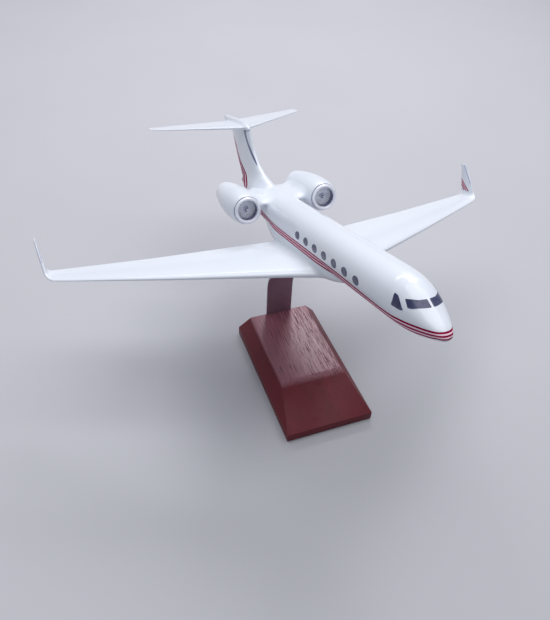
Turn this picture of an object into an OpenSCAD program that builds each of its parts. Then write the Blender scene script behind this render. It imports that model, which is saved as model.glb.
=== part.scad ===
// Desk model of a twin-engined business jet, held nose-up above a bevelled
// hardwood block by one bent metal strap. Millimetres, +Z up, +X to the nose,
// +Y to port; the origin is the middle of the block's underside.

/* [Wood base] */
// Length of the block's footprint
base_length = 198.6; // [165:0.2:240]
// Width of the block's footprint
base_width = 114.8; // [93:0.2:136]
// Height of the top face above the table
base_height = 33; // [26:1:42]
// Height of the low upright wall, felt included
base_wall = 12.8; // [8:0.2:16]
// How far each side bevel runs in
bevel_side = 15.8; // [10:0.2:22]
// How far the back bevel runs in
bevel_back = 6.4; // [4:0.2:8]
// How far the long front slope runs in
slope_front = 68; // [40:1:85]
// Thickness of the felt under the block
felt_thick = 1.2; // [0.8:0.1:2.5]
// How far the felt stays inside the block's edge
felt_inset = 2; // [1:0.5:5]

/* [Support strap] */
// Width of the metal strap
strap_width = 37; // [28:0.2:42]
// Thickness of the strap
strap_thick = 2.4; // [1.8:0.1:3.2]
// Bend radius at mid height, to the middle of the metal
low_bend = 47; // [35:1:60]
// Lean of the upper straight part from upright, in degrees
strap_lean = 40; // [35:1:46]
// Bend radius under the belly, to the middle of the metal
top_bend = 16; // [10:1:24]
// Length of the flange that meets the belly
flange_length = 38; // [34:1:44]
// Depth of the strap's foot in the block
foot_depth = 24.5; // [18:0.5:28]
// Shank radius of the two foot screws
foot_screw = 1.5; // [1.2:0.1:2]
// Radius of the two locating pins
pin_radius = 1.5; // [1.2:0.05:2]
// Distance between the two pins
pin_spacing = 18; // [14:1:22]
// How far the pins stand above the flange
pin_rise = 8.5; // [6:0.5:11]
// Radial play of a pin in its bush
pin_play = 0.05; // [0.02:0.01:0.1]
// Air between the flange and the belly plate when seated
seat_air = 0.02; // [0.01:0.01:0.05]

/* [Display attitude] */
// Nose-up angle of the aircraft, in degrees
pitch = 20; // [15:1:24]
// Forward reach from the strap's foot to the seat
seat_reach = 103.6; // [98:0.2:112]
// Height of the seat above the table
seat_height = 204.8; // [195:0.2:225]
// Where the seat lies along the fuselage, as a share of its length
seat_share = 0.4925; // [0.485:0.0005:0.5]

/* [Fuselage] */
// Length from the nose to the end of the tail cone
body_length = 538; // [449:1:645]
// Radius of the round cabin
body_radius = 23.2; // [19.3:0.1:27.9]
// Points round each section of the nose and tail
body_facets = 48; // [32:4:56]
// Half width of the belly fairing as a share of the cabin radius
fairing_share = 1.034; // [1:0.002:1.06]
// Depth of the belly's flat below the cabin's skin
belly_drop = 11.3; // [9:0.1:13]
// Length of a cabin window
window_length = 12.6; // [9:0.1:15]
// Height of a cabin window
window_height = 8.8; // [7:0.1:10]
// Depth of the glazing inlays
glaze_depth = 0.5; // [0.4:0.05:0.8]

/* [Wings] */
// Half span from the centre line to the start of the winglet's bend
half_span = 286.6; // [240:0.2:344]
// Points along each side of a wing section
wing_points = 18; // [12:1:20]
// Radius of the bend into the winglet
winglet_bend = 7.2; // [5:0.1:12]
// Lean of the winglet, 90 is upright
winglet_lean = 83; // [70:1:90]
// Length of the winglet above its bend
winglet_rise = 35.4; // [28:0.2:42]
// Radius of the two spars through the fairing
spar_radius = 2.5; // [2:0.1:2.8]

/* [Tail] */
// Height of the fin's top rib above the cabin axis
fin_height = 84.5; // [70:0.5:102]
// Half span of the tailplane
tail_span = 115.3; // [96:0.1:139]
// Height of the tailplane above the fin's top rib
tail_rise = 4.1; // [3.9:0.1:4.6]

/* [Engines] */
// Largest radius of a nacelle
nacelle_radius = 20.3; // [17:0.1:24.3]
// Length of a nacelle
nacelle_length = 99.3; // [83:0.1:119]
// Gap between a nacelle and the cabin's widest line
nacelle_gap = 6.5; // [5:0.1:9]
// Height of the nacelle axis above the cabin axis
nacelle_height = 14; // [11:0.5:16]
// Thickness of a pylon as a share of its length
pylon_share = 0.132; // [0.1:0.002:0.14]
// Number of blades moulded on a fan
fan_blades = 22; // [12:1:28]

/* [Hidden] */
$fn = 64;

white = [0.93, 0.94, 0.97];
steel = [0.62, 0.6, 0.6];
slate = [0.2, 0.21, 0.28];

// The strap's foot stands just inside the block's top back edge
foot_x = -base_length / 2 + bevel_back - 0.2;
seat_x = foot_x + seat_reach;
seat_z = seat_height;
// Stations are given on a 538 mm long body and follow its length
kx = body_length / 538;
kr = body_radius / 23.2;
belly_depth = body_radius + belly_drop;
seat_s = seat_share * 538;
bush_wall = 1.5;
bush_length = pin_rise + 1.6;
spar_z = -body_radius - spar_radius - 0.5;
nac_y = body_radius + nacelle_gap + nacelle_radius;
nac_s = 346.5;
fan_depth = 10;

// Number of the table row at or before a station
function row_at(t, s) = min(len(t) - 2, max(0, len([for (r = t) if (r[0] <= s) 1]) - 1));
function slope(t, i, c) = (t[i + 1][c] - t[i][c]) / (t[i + 1][0] - t[i][0]);
// Slope at a row that never overshoots its neighbours
function knot(t, i, c) =
    i == 0 ? slope(t, 0, c) :
    i == len(t) - 1 ? slope(t, i - 1, c) :
    let (a = slope(t, i - 1, c), b = slope(t, i, c))
    let (h = t[i][0] - t[i - 1][0], g = t[i + 1][0] - t[i][0])
    a * b <= 0 ? 0 : 3 * (h + g) / ((h + 2 * g) / a + (2 * h + g) / b);
// Smooth value of a table's column at a station
function smooth(t, s, c) =
    let (i = row_at(t, s), h = t[i + 1][0] - t[i][0], u = (s - t[i][0]) / h)
    t[i][c] * (2 * u * u * u - 3 * u * u + 1) + knot(t, i, c) * h * (u * u * u - 2 * u * u + u)
    + t[i + 1][c] * (3 * u * u - 2 * u * u * u) + knot(t, i + 1, c) * h * (u * u * u - u * u);
function column(t, c) = [for (r = t) [r[0], r[c]]];

// Unit section: upper side from the trailing edge forward, then the lower side back
function half_height(x, t) =
    5 * t * (0.2969 * sqrt(x) - 0.126 * x - 0.3516 * x * x + 0.2843 * x * x * x - 0.1015 * pow(x, 4));
function section(t, edge, n) = concat(
    [for (k = [n - 1:-1:0]) let (x = 0.5 - 0.5 * cos(180 * k / (n - 1)))
        [x, half_height(x, t) + edge * x / 2]],
    [for (k = [1:n - 1]) let (x = 0.5 - 0.5 * cos(180 * k / (n - 1)))
        [x, -half_height(x, t) - edge * x / 2]]);

// Solid skinned over rings of points that all have the same count
module loft(rings, flip = false) {
    n = len(rings[0]);
    m = len(rings);
    sides = [for (j = [0:m - 2], k = [0:n - 1])
        let (a = j * n + k, b = j * n + (k + 1) % n)
        each flip ? [[a, b + n, b], [a, a + n, b + n]] : [[a, b, b + n], [a, b + n, a + n]]];
    low = [for (k = [0:n - 1]) flip ? k : n - 1 - k];
    high = [for (k = [0:n - 1]) (m - 1) * n + (flip ? n - 1 - k : k)];
    polyhedron(points = [for (r = rings) each r], faces = concat([low, high], sides));
}

// Puts a piece drawn about the nose into the aircraft's nose-up place
module aircraft() {
    translate([seat_x, 0, seat_z])
        rotate([0, -pitch, 0])
            translate([seat_s * kx, 0, belly_depth])
                children();
}

// Frame of a nacelle: Z runs aft along the engine from the lip
module engine(side) {
    translate([-nac_s * kx, side * nac_y, nacelle_height])
        rotate([0, -89, 0])
            children();
}

// Station, half width, top, bottom and height of the widest point
body_table = [
    [0, 0.4, -12.2, -13, -12.6],
    [1.5, 4.6, -9.3, -14.9, -11.8],
    [5, 7.4, -5.4, -16.2, -9.9],
    [10, 9.9, -1.7, -17.7, -8.3],
    [17, 12.9, 2.8, -19.4, -6.9],
    [26, 16, 8.6, -21.3, -5.5],
    [37, 19, 15.4, -22.6, -4.1],
    [50, 21.4, 20.6, -23.1, -2.6],
    [66, 22.8, 22.8, -23.2, -1],
    [86, 23.2, 23.2, -23.2, 0],
    [330, 23.2, 23.2, -23.2, 0],
    [375, 22.9, 23.2, -22.3, 0.6],
    [420, 20.6, 22.8, -18.2, 3],
    [465, 15.4, 21.8, -9.4, 6.6],
    [505, 8.2, 19.6, -1.7, 9],
    [520, 4.7, 17.4, 1.6, 9.3],
    [530, 2.8, 14.6, 3.9, 9.2],
    [536, 1.7, 12, 5.7, 8.9],
    [538, 0.6, 9.5, 8.1, 8.8]];
nose_stops = [0, 0.4, 1.5, 3.2, 5.5, 8.5, 12.5, 17.5, 23, 29, 36, 44, 53, 63, 74, 86];
tail_stops = [330, 348, 366, 384, 402, 420, 438, 456, 472, 488, 502, 513, 522, 529, 534, 537, 538];

function body_ring(s, inset = 0) =
    let (w = smooth(body_table, s, 1) * kr - inset, top = smooth(body_table, s, 2) * kr - inset)
    let (low = smooth(body_table, s, 3) * kr + inset, mid = smooth(body_table, s, 4) * kr)
    [for (k = [0:body_facets - 1]) let (a = 360 * k / body_facets)
        [-s * kx, w * cos(a), mid + sin(a) * (sin(a) > 0 ? top - mid : mid - low)]];

module cabin(s0, s1, r) {
    translate([-s1 * kx, 0, 0])
        rotate([0, 90, 0])
            cylinder(r = r, h = (s1 - s0) * kx);
}

module body_part(stops) {
    loft([for (s = stops) body_ring(s)]);
}

// Block with a long front slope, bevelled sides and back, and a slot for the strap
module wood_base() {
    color([0.33, 0.13, 0.1])
    difference() {
        translate([0, base_width / 2, 0])
            rotate([90, 0, 0])
                linear_extrude(base_width)
                    polygon([
                        [-base_length / 2, felt_thick],
                        [base_length / 2, felt_thick],
                        [base_length / 2, base_wall],
                        [base_length / 2 - slope_front, base_height],
                        [-base_length / 2 + bevel_back, base_height],
                        [-base_length / 2, base_wall]]);
        for (side = [-1, 1])
            translate([-base_length, 0, 0])
                rotate([90, 0, 90])
                    linear_extrude(2 * base_length)
                        polygon([
                            [side * base_width / 2, base_wall],
                            [side * (base_width / 2 - bevel_side), base_height],
                            [side * (base_width / 2 - bevel_side), base_height + 20],
                            [side * (base_width / 2 + 20), base_height + 20],
                            [side * (base_width / 2 + 20), base_wall]]);
        translate([-base_length, -strap_width / 2 - 0.2, base_height - foot_depth])
            cube([base_length + foot_x + strap_thick / 2, strap_width + 0.4, base_height]);
        for (side = [-1, 1])
            translate([foot_x, side * strap_width / 4, base_height - 13])
                rotate([0, 90, 0])
                    cylinder(r = foot_screw, h = 17);
    }
}

module base_felt() {
    color([0.07, 0.12, 0.09])
    difference() {
        translate([-base_length / 2 + felt_inset, -base_width / 2 + felt_inset, 0])
            cube([base_length - 2 * felt_inset, base_width - 2 * felt_inset, felt_thick]);
        for (i = [-1, 1], j = [-1, 1])
            translate([i * (base_length / 2 - felt_inset), j * (base_width / 2 - felt_inset), 0])
                rotate([0, 0, 45])
                    cube([3, 3, 10], center = true);
    }
}

// Side view of the strap's path: upright foot, easy bend, lean, tight bend, flange
lean_end = 90 - pitch;
top_run = flange_length / 2;
flange_x = foot_x + seat_reach + sin(pitch) * (strap_thick / 2 + seat_air) - top_run * cos(pitch);
flange_z = seat_z - cos(pitch) * (strap_thick / 2 + seat_air) - top_run * sin(pitch);
bend_x = flange_x - top_bend * (cos(strap_lean) - cos(lean_end));
bend_z = flange_z - top_bend * (sin(lean_end) - sin(strap_lean));
lean_run = (bend_x - foot_x - low_bend * (1 - cos(strap_lean))) / sin(strap_lean);
low_z = bend_z - lean_run * cos(strap_lean) - low_bend * sin(strap_lean);

// Points of the path with the heading at each, in degrees from upright
strap_path = concat(
    [[foot_x, base_height - foot_depth, 0]],
    [for (k = [0:16]) let (a = strap_lean * k / 16)
        [foot_x + low_bend * (1 - cos(a)), low_z + low_bend * sin(a), a]],
    [for (k = [0:12]) let (a = strap_lean + (lean_end - strap_lean) * k / 12)
        [bend_x + top_bend * (cos(strap_lean) - cos(a)), bend_z + top_bend * (sin(a) - sin(strap_lean)), a]],
    [[flange_x + flange_length * sin(lean_end), flange_z + flange_length * cos(lean_end), lean_end]]);

module strap_side() {
    n = len(strap_path);
    half = strap_thick / 2;
    polygon(concat(
        [for (p = strap_path) [p[0] - half * cos(p[2]), p[1] + half * sin(p[2])]],
        [for (k = [n - 1:-1:0]) let (p = strap_path[k]) [p[0] + half * cos(p[2]), p[1] - half * sin(p[2])]]));
}

// Places something at both pins, Z along the pins, from the seat plane
module at_pins() {
    for (i = [-1, 1])
        translate([-seat_s * kx + i * pin_spacing / 2, 0, -belly_depth])
            children();
}

module support_strap() {
    color(steel)
    difference() {
        translate([0, strap_width / 2, 0])
            rotate([90, 0, 0])
                linear_extrude(strap_width)
                    strap_side();
        for (side = [-1, 1])
            translate([foot_x - 5, side * strap_width / 4, base_height - 13])
                rotate([0, 90, 0])
                    cylinder(r = foot_screw, h = 10);
        aircraft()
            at_pins()
                translate([0, 0, -6])
                    cylinder(r = pin_radius, h = 12);
    }
}

// Two pan-head wood screws driven from behind, one node because they are alike
module strap_screws() {
    color(steel)
    for (side = [-1, 1])
        translate([foot_x - strap_thick / 2, side * strap_width / 4, base_height - 13])
            rotate([0, 90, 0])
                difference() {
                    union() {
                        translate([0, 0, -1.4])
                            cylinder(r = 2 * foot_screw, h = 1.4);
                        cylinder(r = foot_screw, h = 14);
                        translate([0, 0, 14])
                            cylinder(r1 = foot_screw, r2 = 0.3, h = 2.5);
                    }
                    translate([0, 0, -1.4])
                        cube([0.6, 4, 1.4], center = true);
                }
}

// Two riveted steel pins standing on the flange
module locating_pins() {
    color([0.75, 0.75, 0.77])
    aircraft()
        at_pins()
            union() {
                translate([0, 0, -strap_thick - seat_air - 1])
                    cylinder(r = pin_radius + 1.3, h = 1);
                translate([0, 0, -strap_thick - seat_air])
                    cylinder(r = pin_radius, h = strap_thick + seat_air + pin_rise - 0.8);
                translate([0, 0, pin_rise - 0.8])
                    cylinder(r1 = pin_radius, r2 = pin_radius - 0.7, h = 0.8);
            }
}

// Outlines of the cockpit panes, stations with half breadths or heights
screen_outline = [[22.1, 1], [22.8, 4], [24.3, 7.4], [27, 11], [30.1, 14.1], [33.8, 15.9],
    [39.8, 14.7], [36.2, 12.4], [33.2, 9.8], [31.1, 7.5], [29.7, 4], [29.2, 1]];
quarter_outline = [[51.5, 11.6], [46.8, 10.7], [43.4, 8], [37, 1.4], [40.1, 0.8], [51.1, 1.8]];

module pane_prisms() {
    for (side = [-1, 1]) {
        translate([0, 0, -2 * kr])
            linear_extrude(30 * kr)
                polygon([for (p = screen_outline) [-p[0] * kx, side * p[1] * kr]]);
        translate([0, side > 0 ? 30 * kr : -10 * kr, 0])
            rotate([90, 0, 0])
                linear_extrude(20 * kr)
                    polygon([for (p = quarter_outline) [-p[0] * kx, p[1] * kr]]);
    }
}

glaze_stops = [12.5, 17.5, 23, 29, 36, 44, 53, 63];

// Oval prisms for the seven windows of each side, in a row that climbs a little aft
module window_prisms() {
    for (side = [-1, 1], i = [0:6])
        translate([-(112.7 + 24.03 * i) * kx, side > 0 ? 30 * kr : -10 * kr, (1.35 + 0.36 * i) * kr])
            rotate([90, 0, 0])
                linear_extrude(20 * kr)
                    polygon([for (k = [0:27]) let (a = 360 * k / 28)
                        [window_length / 2 * cos(a), window_height / 2 * kr * sin(a)]]);
}

// Where the pylons pass through skins; a thin upright-sided plank with rounded nose
module pylon_plank(y0, y1) {
    translate([-362 * kx, y1, nacelle_height + 0.8])
        rotate([90, 0, 0])
            linear_extrude(y1 - y0)
                polygon([for (p = section(pylon_share, 0.02, 14)) [-80 * kx * p[0], 80 * kx * p[1]]]);
}

fin_table = [
    [10, 396, 531.5, 9.5],
    [22, 404, 539.5, 8],
    [28, 414, 542.9, 7.2],
    [34, 431, 546.3, 6.4],
    [43, 449, 551, 5.8],
    [52, 459, 555.2, 5.6],
    [62, 466.5, 559.6, 5.4],
    [74, 472.5, 564.6, 5.1],
    [84.5, 477, 570, 4.8]];
fin_stops = [10, 16, 22, 25, 28, 31, 34, 38.5, 43, 52, 62, 74, 80, 84.5];
fin_root = body_radius - 23.2;

// Heights above the crown stretch with the fin, those inside it follow the body
function fin_level(z) = fin_root + (z < 22 ? z : 22 + (z - 22) * (fin_height - fin_root - 22) / 62.5);
function fin_ring(z) =
    let (le = smooth(fin_table, z, 1), te = smooth(fin_table, z, 2), h = smooth(fin_table, z, 3))
    [for (p = section(1, 0, 16)) [-(le + (te - le) * p[0]) * kx, 2 * h * p[1], fin_level(z)]];
module fin_part(stops) {
    loft([for (z = stops) fin_ring(z)]);
}

module fuselage() {
    color(white)
    aircraft()
        difference() {
            body_part(concat(nose_stops, tail_stops));
            intersection() {
                window_prisms();
                difference() {
                    cabin(90, 300, body_radius + 2);
                    cabin(80, 310, body_radius - glaze_depth);
                }
            }
            difference() {
                pane_prisms();
                loft([for (s = glaze_stops) body_ring(s, glaze_depth)]);
            }
            for (side = [-1, 1])
                pylon_plank(side > 0 ? 13 * kr : -40 * kr, side > 0 ? 40 * kr : -13 * kr);
            fin_part([10, 16, 22, 25, 28]);
        }
}

module cabin_windows() {
    color(slate)
    aircraft()
        intersection() {
            window_prisms();
            difference() {
                cabin(90, 300, body_radius);
                cabin(80, 310, body_radius - glaze_depth);
            }
        }
}

module cockpit_windows() {
    color(slate)
    aircraft()
        difference() {
            intersection() {
                pane_prisms();
                body_part(glaze_stops);
            }
            loft([for (s = concat([10], glaze_stops, [70])) body_ring(s, glaze_depth)]);
        }
}

// Station, half width and bottom of the belly fairing
fairing_table = [
    [152, 13, -18.5],
    [165, 16.9, -23.2],
    [187, 20.9, -28.6],
    [215, 23.4, -32.9],
    [250, 24, -34.5],
    [330, 24, -34.5],
    [355, 22.2, -33.4],
    [372, 19.3, -29.6],
    [388, 16.2, -24.2],
    [402, 13.4, -18.8]];
fairing_stops = [152, 158, 165, 172, 180, 188, 197, 206, 215, 226, 238, 250, 290, 330, 343, 355, 364, 372,
    380, 388, 395, 402];

function bottom_at(s) =
    let (z = smooth(fairing_table, s, 2))
    z < -23.2 ? -body_radius + (z + 23.2) * belly_drop / 11.3 : z * kr;
function fairing_ring(s) =
    let (w = smooth(fairing_table, s, 1) / 24 * fairing_share * body_radius, low = bottom_at(s))
    let (shoulder = min(w, 0.966 * body_radius), mid = max(-14 * kr, low + 4))
    concat([[-s * kx, shoulder, -4 * kr], [-s * kx, -shoulder, -4 * kr]],
        [for (k = [0:20]) let (a = 180 + 9 * k, c = cos(a), q = abs(sin(a)))
            [-s * kx, w * sign(c) * pow(abs(c), 2 / 3.2), mid - (mid - low) * pow(q, 2 / 3.2)]]);

// Distance out, leading and trailing station, their heights, thickness share
wing_table = [
    [18, 199.5, 331.8, -25, -25.5, 0.115],
    [48, 220.4, 339.3, -26.2, -26.4, 0.114],
    [165, 293.6, 368.5, -31.1, -30, 0.109],
    [265, 356.8, 400, -34.15, -33.2, 0.1],
    [286.6, 370.5, 407.6, -34.35, -33.9, 0.1]];
root_y = 18;
root_drop = body_radius - 23.2;

function wing_out(y) = root_y * kr + (y - root_y) * (half_span - root_y * kr) / 268.6;
function wing_ring(y) =
    let (le = lookup(y, column(wing_table, 1)), te = lookup(y, column(wing_table, 2)))
    let (zl = lookup(y, column(wing_table, 3)), zt = lookup(y, column(wing_table, 4)))
    let (t = lookup(y, column(wing_table, 5)), c = te - le)
    [for (p = section(t, 0.012, wing_points))
        [-(le + c * p[0]) * kx, wing_out(y), zl + (zt - zl) * p[0] + c * p[1] - root_drop]];
module wing_part(stops) {
    loft([for (y = stops) wing_ring(y)], true);
}

module spar(r, front) {
    translate([-(front ? 240 : 300) * kx, -46 * kr, spar_z])
        rotate([-90, 0, 0])
            cylinder(r = r, h = 92 * kr);
}

module belly_fairing() {
    color(white)
    aircraft()
        difference() {
            loft([for (s = fairing_stops) fairing_ring(s)]);
            body_part(concat([120], [for (s = tail_stops) if (s < 430) s]));
            wing_part([18, 48, 60]);
            mirror([0, 1, 0])
                wing_part([18, 48, 60]);
            spar(spar_radius, true);
            spar(spar_radius, false);
            translate([-seat_s * kx - plate_length / 2, -plate_width / 2, -belly_depth - 1])
                cube([plate_length, plate_width, plate_thick + 1]);
            at_pins()
                cylinder(r = pin_radius + bush_wall, h = bush_length);
            at_plate_corners()
                cylinder(r = 0.9, h = 7);
        }
}

plate_length = 34;
plate_width = 22;
plate_thick = 1.6;

module at_plate_corners() {
    for (i = [-1, 1], j = [-1, 1])
        translate([-seat_s * kx + i * (plate_length / 2 - 3), j * (plate_width / 2 - 3), -belly_depth])
            children();
}

// Metal plate let into the flat of the belly, on which the flange bears
module belly_plate() {
    color([0.7, 0.7, 0.72])
    aircraft()
        difference() {
            translate([-seat_s * kx - plate_length / 2, -plate_width / 2, -belly_depth])
                cube([plate_length, plate_width, plate_thick]);
            at_pins()
                translate([0, 0, -1])
                    cylinder(r = pin_radius + bush_wall, h = 5);
            at_plate_corners()
                cylinder(r = 0.9, h = 7);
            at_plate_corners()
                cylinder(r1 = 1.8, r2 = 0.9, h = 0.9);
        }
}

module plate_screws() {
    color([0.75, 0.75, 0.77])
    aircraft()
        at_plate_corners()
            union() {
                cylinder(r1 = 1.8, r2 = 0.9, h = 0.9);
                cylinder(r = 0.9, h = 6.5);
            }
}

module socket_bushes() {
    color([0.78, 0.6, 0.3])
    aircraft()
        at_pins()
            difference() {
                cylinder(r = pin_radius + bush_wall, h = bush_length);
                translate([0, 0, -1])
                    cylinder(r = pin_radius + pin_play, h = pin_rise + 1.5);
            }
}

// Two steel rods that tie both wings through the fairing
module wing_spars() {
    color([0.6, 0.6, 0.62])
    aircraft() {
        spar(spar_radius, true);
        spar(spar_radius, false);
    }
}

// Two dowels at each wing tip, the same size everywhere
module tip_dowels(r) {
    for (share = [0.3, 0.6])
        translate([-(370.5 + 37.1 * share) * kx, half_span - 5, -34.35 - root_drop + 0.45 * share])
            rotate([-90, 0, 0])
                cylinder(r = r, h = 8);
}

module wing() {
    difference() {
        wing_part([18, 48, 60, 110, 165, 215, 265, 286.6]);
        spar(spar_radius, true);
        spar(spar_radius, false);
        tip_dowels(0.8);
    }
}

module starboard_wing() {
    color(white)
    aircraft()
        mirror([0, 1, 0])
            wing();
}

module port_wing() {
    color(white)
    aircraft()
        wing();
}

module winglet_dowels() {
    color([0.6, 0.6, 0.62])
    aircraft()
        for (side = [0, 1])
            mirror([0, side, 0])
                tip_dowels(0.8);
}

// Ring k of the winglet: 0 to 6 round the bend, 7 to 12 up the blade
blade_le = [[0, 370.5], [6, 384], [11, 405.2], [12, 409.2]];
blade_te = [[0, 407.6], [6, 413], [12, 421.4]];
function winglet_ring(k) =
    let (a = k < 6 ? winglet_lean * k / 6 : winglet_lean, d = k < 6 ? 0 : winglet_rise * (k - 6) / 6)
    let (y = half_span + winglet_bend * sin(a) + d * cos(winglet_lean))
    let (z = -34.35 + winglet_bend * (1 - cos(a)) + d * sin(winglet_lean))
    let (le = lookup(k, blade_le), te = lookup(k, blade_te), c = te - le)
    let (t = lookup(k, [[0, 0.1], [6, 0.09], [12, 0.1]]), twist = lookup(k, [[0, 0.45], [6, 0.3], [12, 0]]))
    [for (p = section(t, 0.012 + 0.008 * min(k, 6) / 6, wing_points)) let (h = p[1] * c)
        [-(le + c * p[0]) * kx, y - h * sin(a), z + twist * p[0] + h * cos(a) - root_drop]];

module winglet() {
    difference() {
        loft([for (k = [0:12]) winglet_ring(k)], true);
        tip_dowels(0.8);
    }
}

module starboard_winglet() {
    color(white)
    aircraft()
        mirror([0, 1, 0])
            winglet();
}

module port_winglet() {
    color(white)
    aircraft()
        winglet();
}

module fin() {
    color(white)
    aircraft()
        fin_part(fin_stops);
}

tail_z = fin_height + tail_rise;
tail_root = 2.4;
tail_tips = [[2.4, 0, 0, 1], [30, 0, 0, 1], [70, 0, 0, 1], [108, 0, 0, 1], [111, 1, 0.2, 0.96],
    [113.4, 3.3, 1, 0.74], [115.3, 6, 2.5, 0.32]];
function tail_out(y) = tail_root + (y - tail_root) * (tail_span - tail_root) / 112.9;
function tail_ring(v) =
    let (le = 484 + 0.927 * (v[0] - 2.4) + v[1], te = 571.9 + 0.4 * (v[0] - 2.4) - v[2], c = te - le)
    [for (p = section(0.075 * v[3], 0.014, 14))
        [-(le + c * p[0]) * kx, tail_out(v[0]), tail_z - 0.011 * v[0] + c * p[1]]];
module tail_wing(tips) {
    loft([for (v = tips) tail_ring(v)], true);
}

// Station, half height, half width and height of the middle above the tailplane
bullet_table = [
    [479, 0.5, 0.5, -1.4],
    [482, 2.7, 2.7, -1.1],
    [488, 4.6, 4.4, -0.6],
    [502, 6.3, 5.5, 0.3],
    [530, 6.7, 5.8, 0.6],
    [560, 6.2, 5.2, 1.1],
    [584, 4.6, 3.6, 2.4],
    [596, 2.8, 2.1, 3.4],
    [600, 0.8, 0.7, 3.9]];
function bullet_ring(r) = [for (k = [0:23])
    [-r[0] * kx, r[2] * cos(15 * k), tail_z + r[3] + r[1] * sin(15 * k)]];

module tail_bullet() {
    color(white)
    aircraft()
        difference() {
            loft([for (r = bullet_table) bullet_ring(r)]);
            fin_part([74, 80, 84.5]);
            tail_wing([tail_tips[0], tail_tips[1]]);
            mirror([0, 1, 0])
                tail_wing([tail_tips[0], tail_tips[1]]);
            tail_dowels(1.2);
        }
}

module tail_dowels(r) {
    for (s = [515, 545])
        translate([-s * kx, -9, tail_z - 0.05])
            rotate([-90, 0, 0])
                cylinder(r = r, h = 18);
}

module tailplane() {
    difference() {
        tail_wing(tail_tips);
        tail_dowels(1.2);
    }
}

module starboard_tailplane() {
    color(white)
    aircraft()
        mirror([0, 1, 0])
            tailplane();
}

module port_tailplane() {
    color(white)
    aircraft()
        tailplane();
}

module tailplane_dowels() {
    color([0.6, 0.6, 0.62])
    aircraft()
        tail_dowels(1.2);
}

module starboard_pylon() {
    color(white)
    aircraft()
        pylon_plank(-nac_y + nacelle_radius * 0.69, -13 * kr);
}

module port_pylon() {
    color(white)
    aircraft()
        pylon_plank(13 * kr, nac_y - nacelle_radius * 0.69);
}

// Radii of the engine follow its largest radius, lengths follow its length
nk = nacelle_radius / 20.3;
nl = nacelle_length / 99.3;
shell_table = [[3, 15.3], [4.1, 15.3], [4.2, 16.9], [8, 18.1], [14, 19.1], [20, 19.7], [28, 20.15],
    [35.4, 20.3], [45, 20.15], [55, 19.6], [65, 18.8], [74.5, 17.8], [82, 16.8], [90, 15.6], [96, 14.7],
    [99.3, 14.1]];

module nacelle(side) {
    difference() {
        engine(side)
            rotate_extrude($fn = 96)
                polygon(concat(
                    [[0, (fan_depth + 1.5) * nl], [12 * nk, (fan_depth + 1.5) * nl], [12 * nk, 3 * nl]],
                    [for (p = shell_table) [p[1] * nk, p[0] * nl]],
                    [[11.9 * nk, 99.3 * nl], [11.2 * nk, 84 * nl], [0, 84 * nl]]));
        pylon_plank(
            side > 0 ? 13 * kr : -nac_y + nacelle_radius * 0.69,
            side > 0 ? nac_y - nacelle_radius * 0.69 : -13 * kr);
    }
}

module starboard_nacelle() {
    color(white)
    aircraft()
        nacelle(-1);
}

module port_nacelle() {
    color(white)
    aircraft()
        nacelle(1);
}

// Rounded ring at the mouth of an engine
module intake_lip(side) {
    engine(side)
        rotate_extrude($fn = 96)
            polygon([for (p = [[12, 3], [12.15, 1.9], [12.6, 0.9], [13.3, 0.25], [14.1, 0], [14.9, 0.3],
                [15.6, 1], [16.1, 2], [16.3, 3]]) [p[0] * nk, p[1] * nl]]);
}

module starboard_intake_lip() {
    color([0.95, 0.96, 0.98])
    aircraft()
        intake_lip(-1);
}

module port_intake_lip() {
    color([0.95, 0.96, 0.98])
    aircraft()
        intake_lip(1);
}

// Moulded fan: a disc with low blades round a hub
module fan(side) {
    engine(side)
        translate([0, 0, (fan_depth + 1.5) * nl])
            rotate([180, 0, 0]) {
                cylinder(r = 11.8 * nk, h = 1 * nl);
                cylinder(r = 3.9 * nk, h = 1.6 * nl);
                for (k = [0:fan_blades - 1])
                    rotate([0, 0, 360 * k / fan_blades])
                        translate([3.2 * nk, -0.25, 0])
                            cube([8.4 * nk, 0.5, 1.5 * nl]);
            }
}

module starboard_fan() {
    color([0.55, 0.56, 0.6])
    aircraft()
        fan(-1);
}

module port_fan() {
    color([0.55, 0.56, 0.6])
    aircraft()
        fan(1);
}

module spinner(side) {
    engine(side)
        translate([0, 0, (fan_depth - 0.1) * nl])
            rotate([180, 0, 0])
                rotate_extrude($fn = 48)
                    polygon([for (p = [[0, 0], [3.3, 0], [3.2, 0.6], [2.8, 1.4], [2.2, 2.2], [1.4, 2.9],
                        [0.6, 3.3], [0, 3.4]]) [p[0] * nk, p[1] * nl]]);
}

module starboard_spinner() {
    color([0.7, 0.7, 0.74])
    aircraft()
        spinner(-1);
}

module port_spinner() {
    color([0.7, 0.7, 0.74])
    aircraft()
        spinner(1);
}

module exhaust(side) {
    engine(side)
        rotate_extrude($fn = 64)
            polygon([for (p = [[0, 84], [6.5, 84], [6.2, 87], [5, 91], [3.2, 95], [1.4, 97.6], [0, 98]])
                [p[0] * nk, p[1] * nl]]);
}

module starboard_exhaust() {
    color([0.45, 0.44, 0.45])
    aircraft()
        exhaust(-1);
}

module port_exhaust() {
    color([0.45, 0.44, 0.45])
    aircraft()
        exhaust(1);
}

wood_base();
base_felt();
support_strap();
strap_screws();
locating_pins();
fuselage();
cabin_windows();
cockpit_windows();
belly_fairing();
belly_plate();
plate_screws();
socket_bushes();
wing_spars();
starboard_wing();
port_wing();
winglet_dowels();
starboard_winglet();
port_winglet();
fin();
tail_bullet();
starboard_tailplane();
port_tailplane();
tailplane_dowels();
starboard_pylon();
port_pylon();
starboard_nacelle();
port_nacelle();
starboard_intake_lip();
port_intake_lip();
starboard_fan();
port_fan();
starboard_spinner();
port_spinner();
starboard_exhaust();
port_exhaust();
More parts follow.
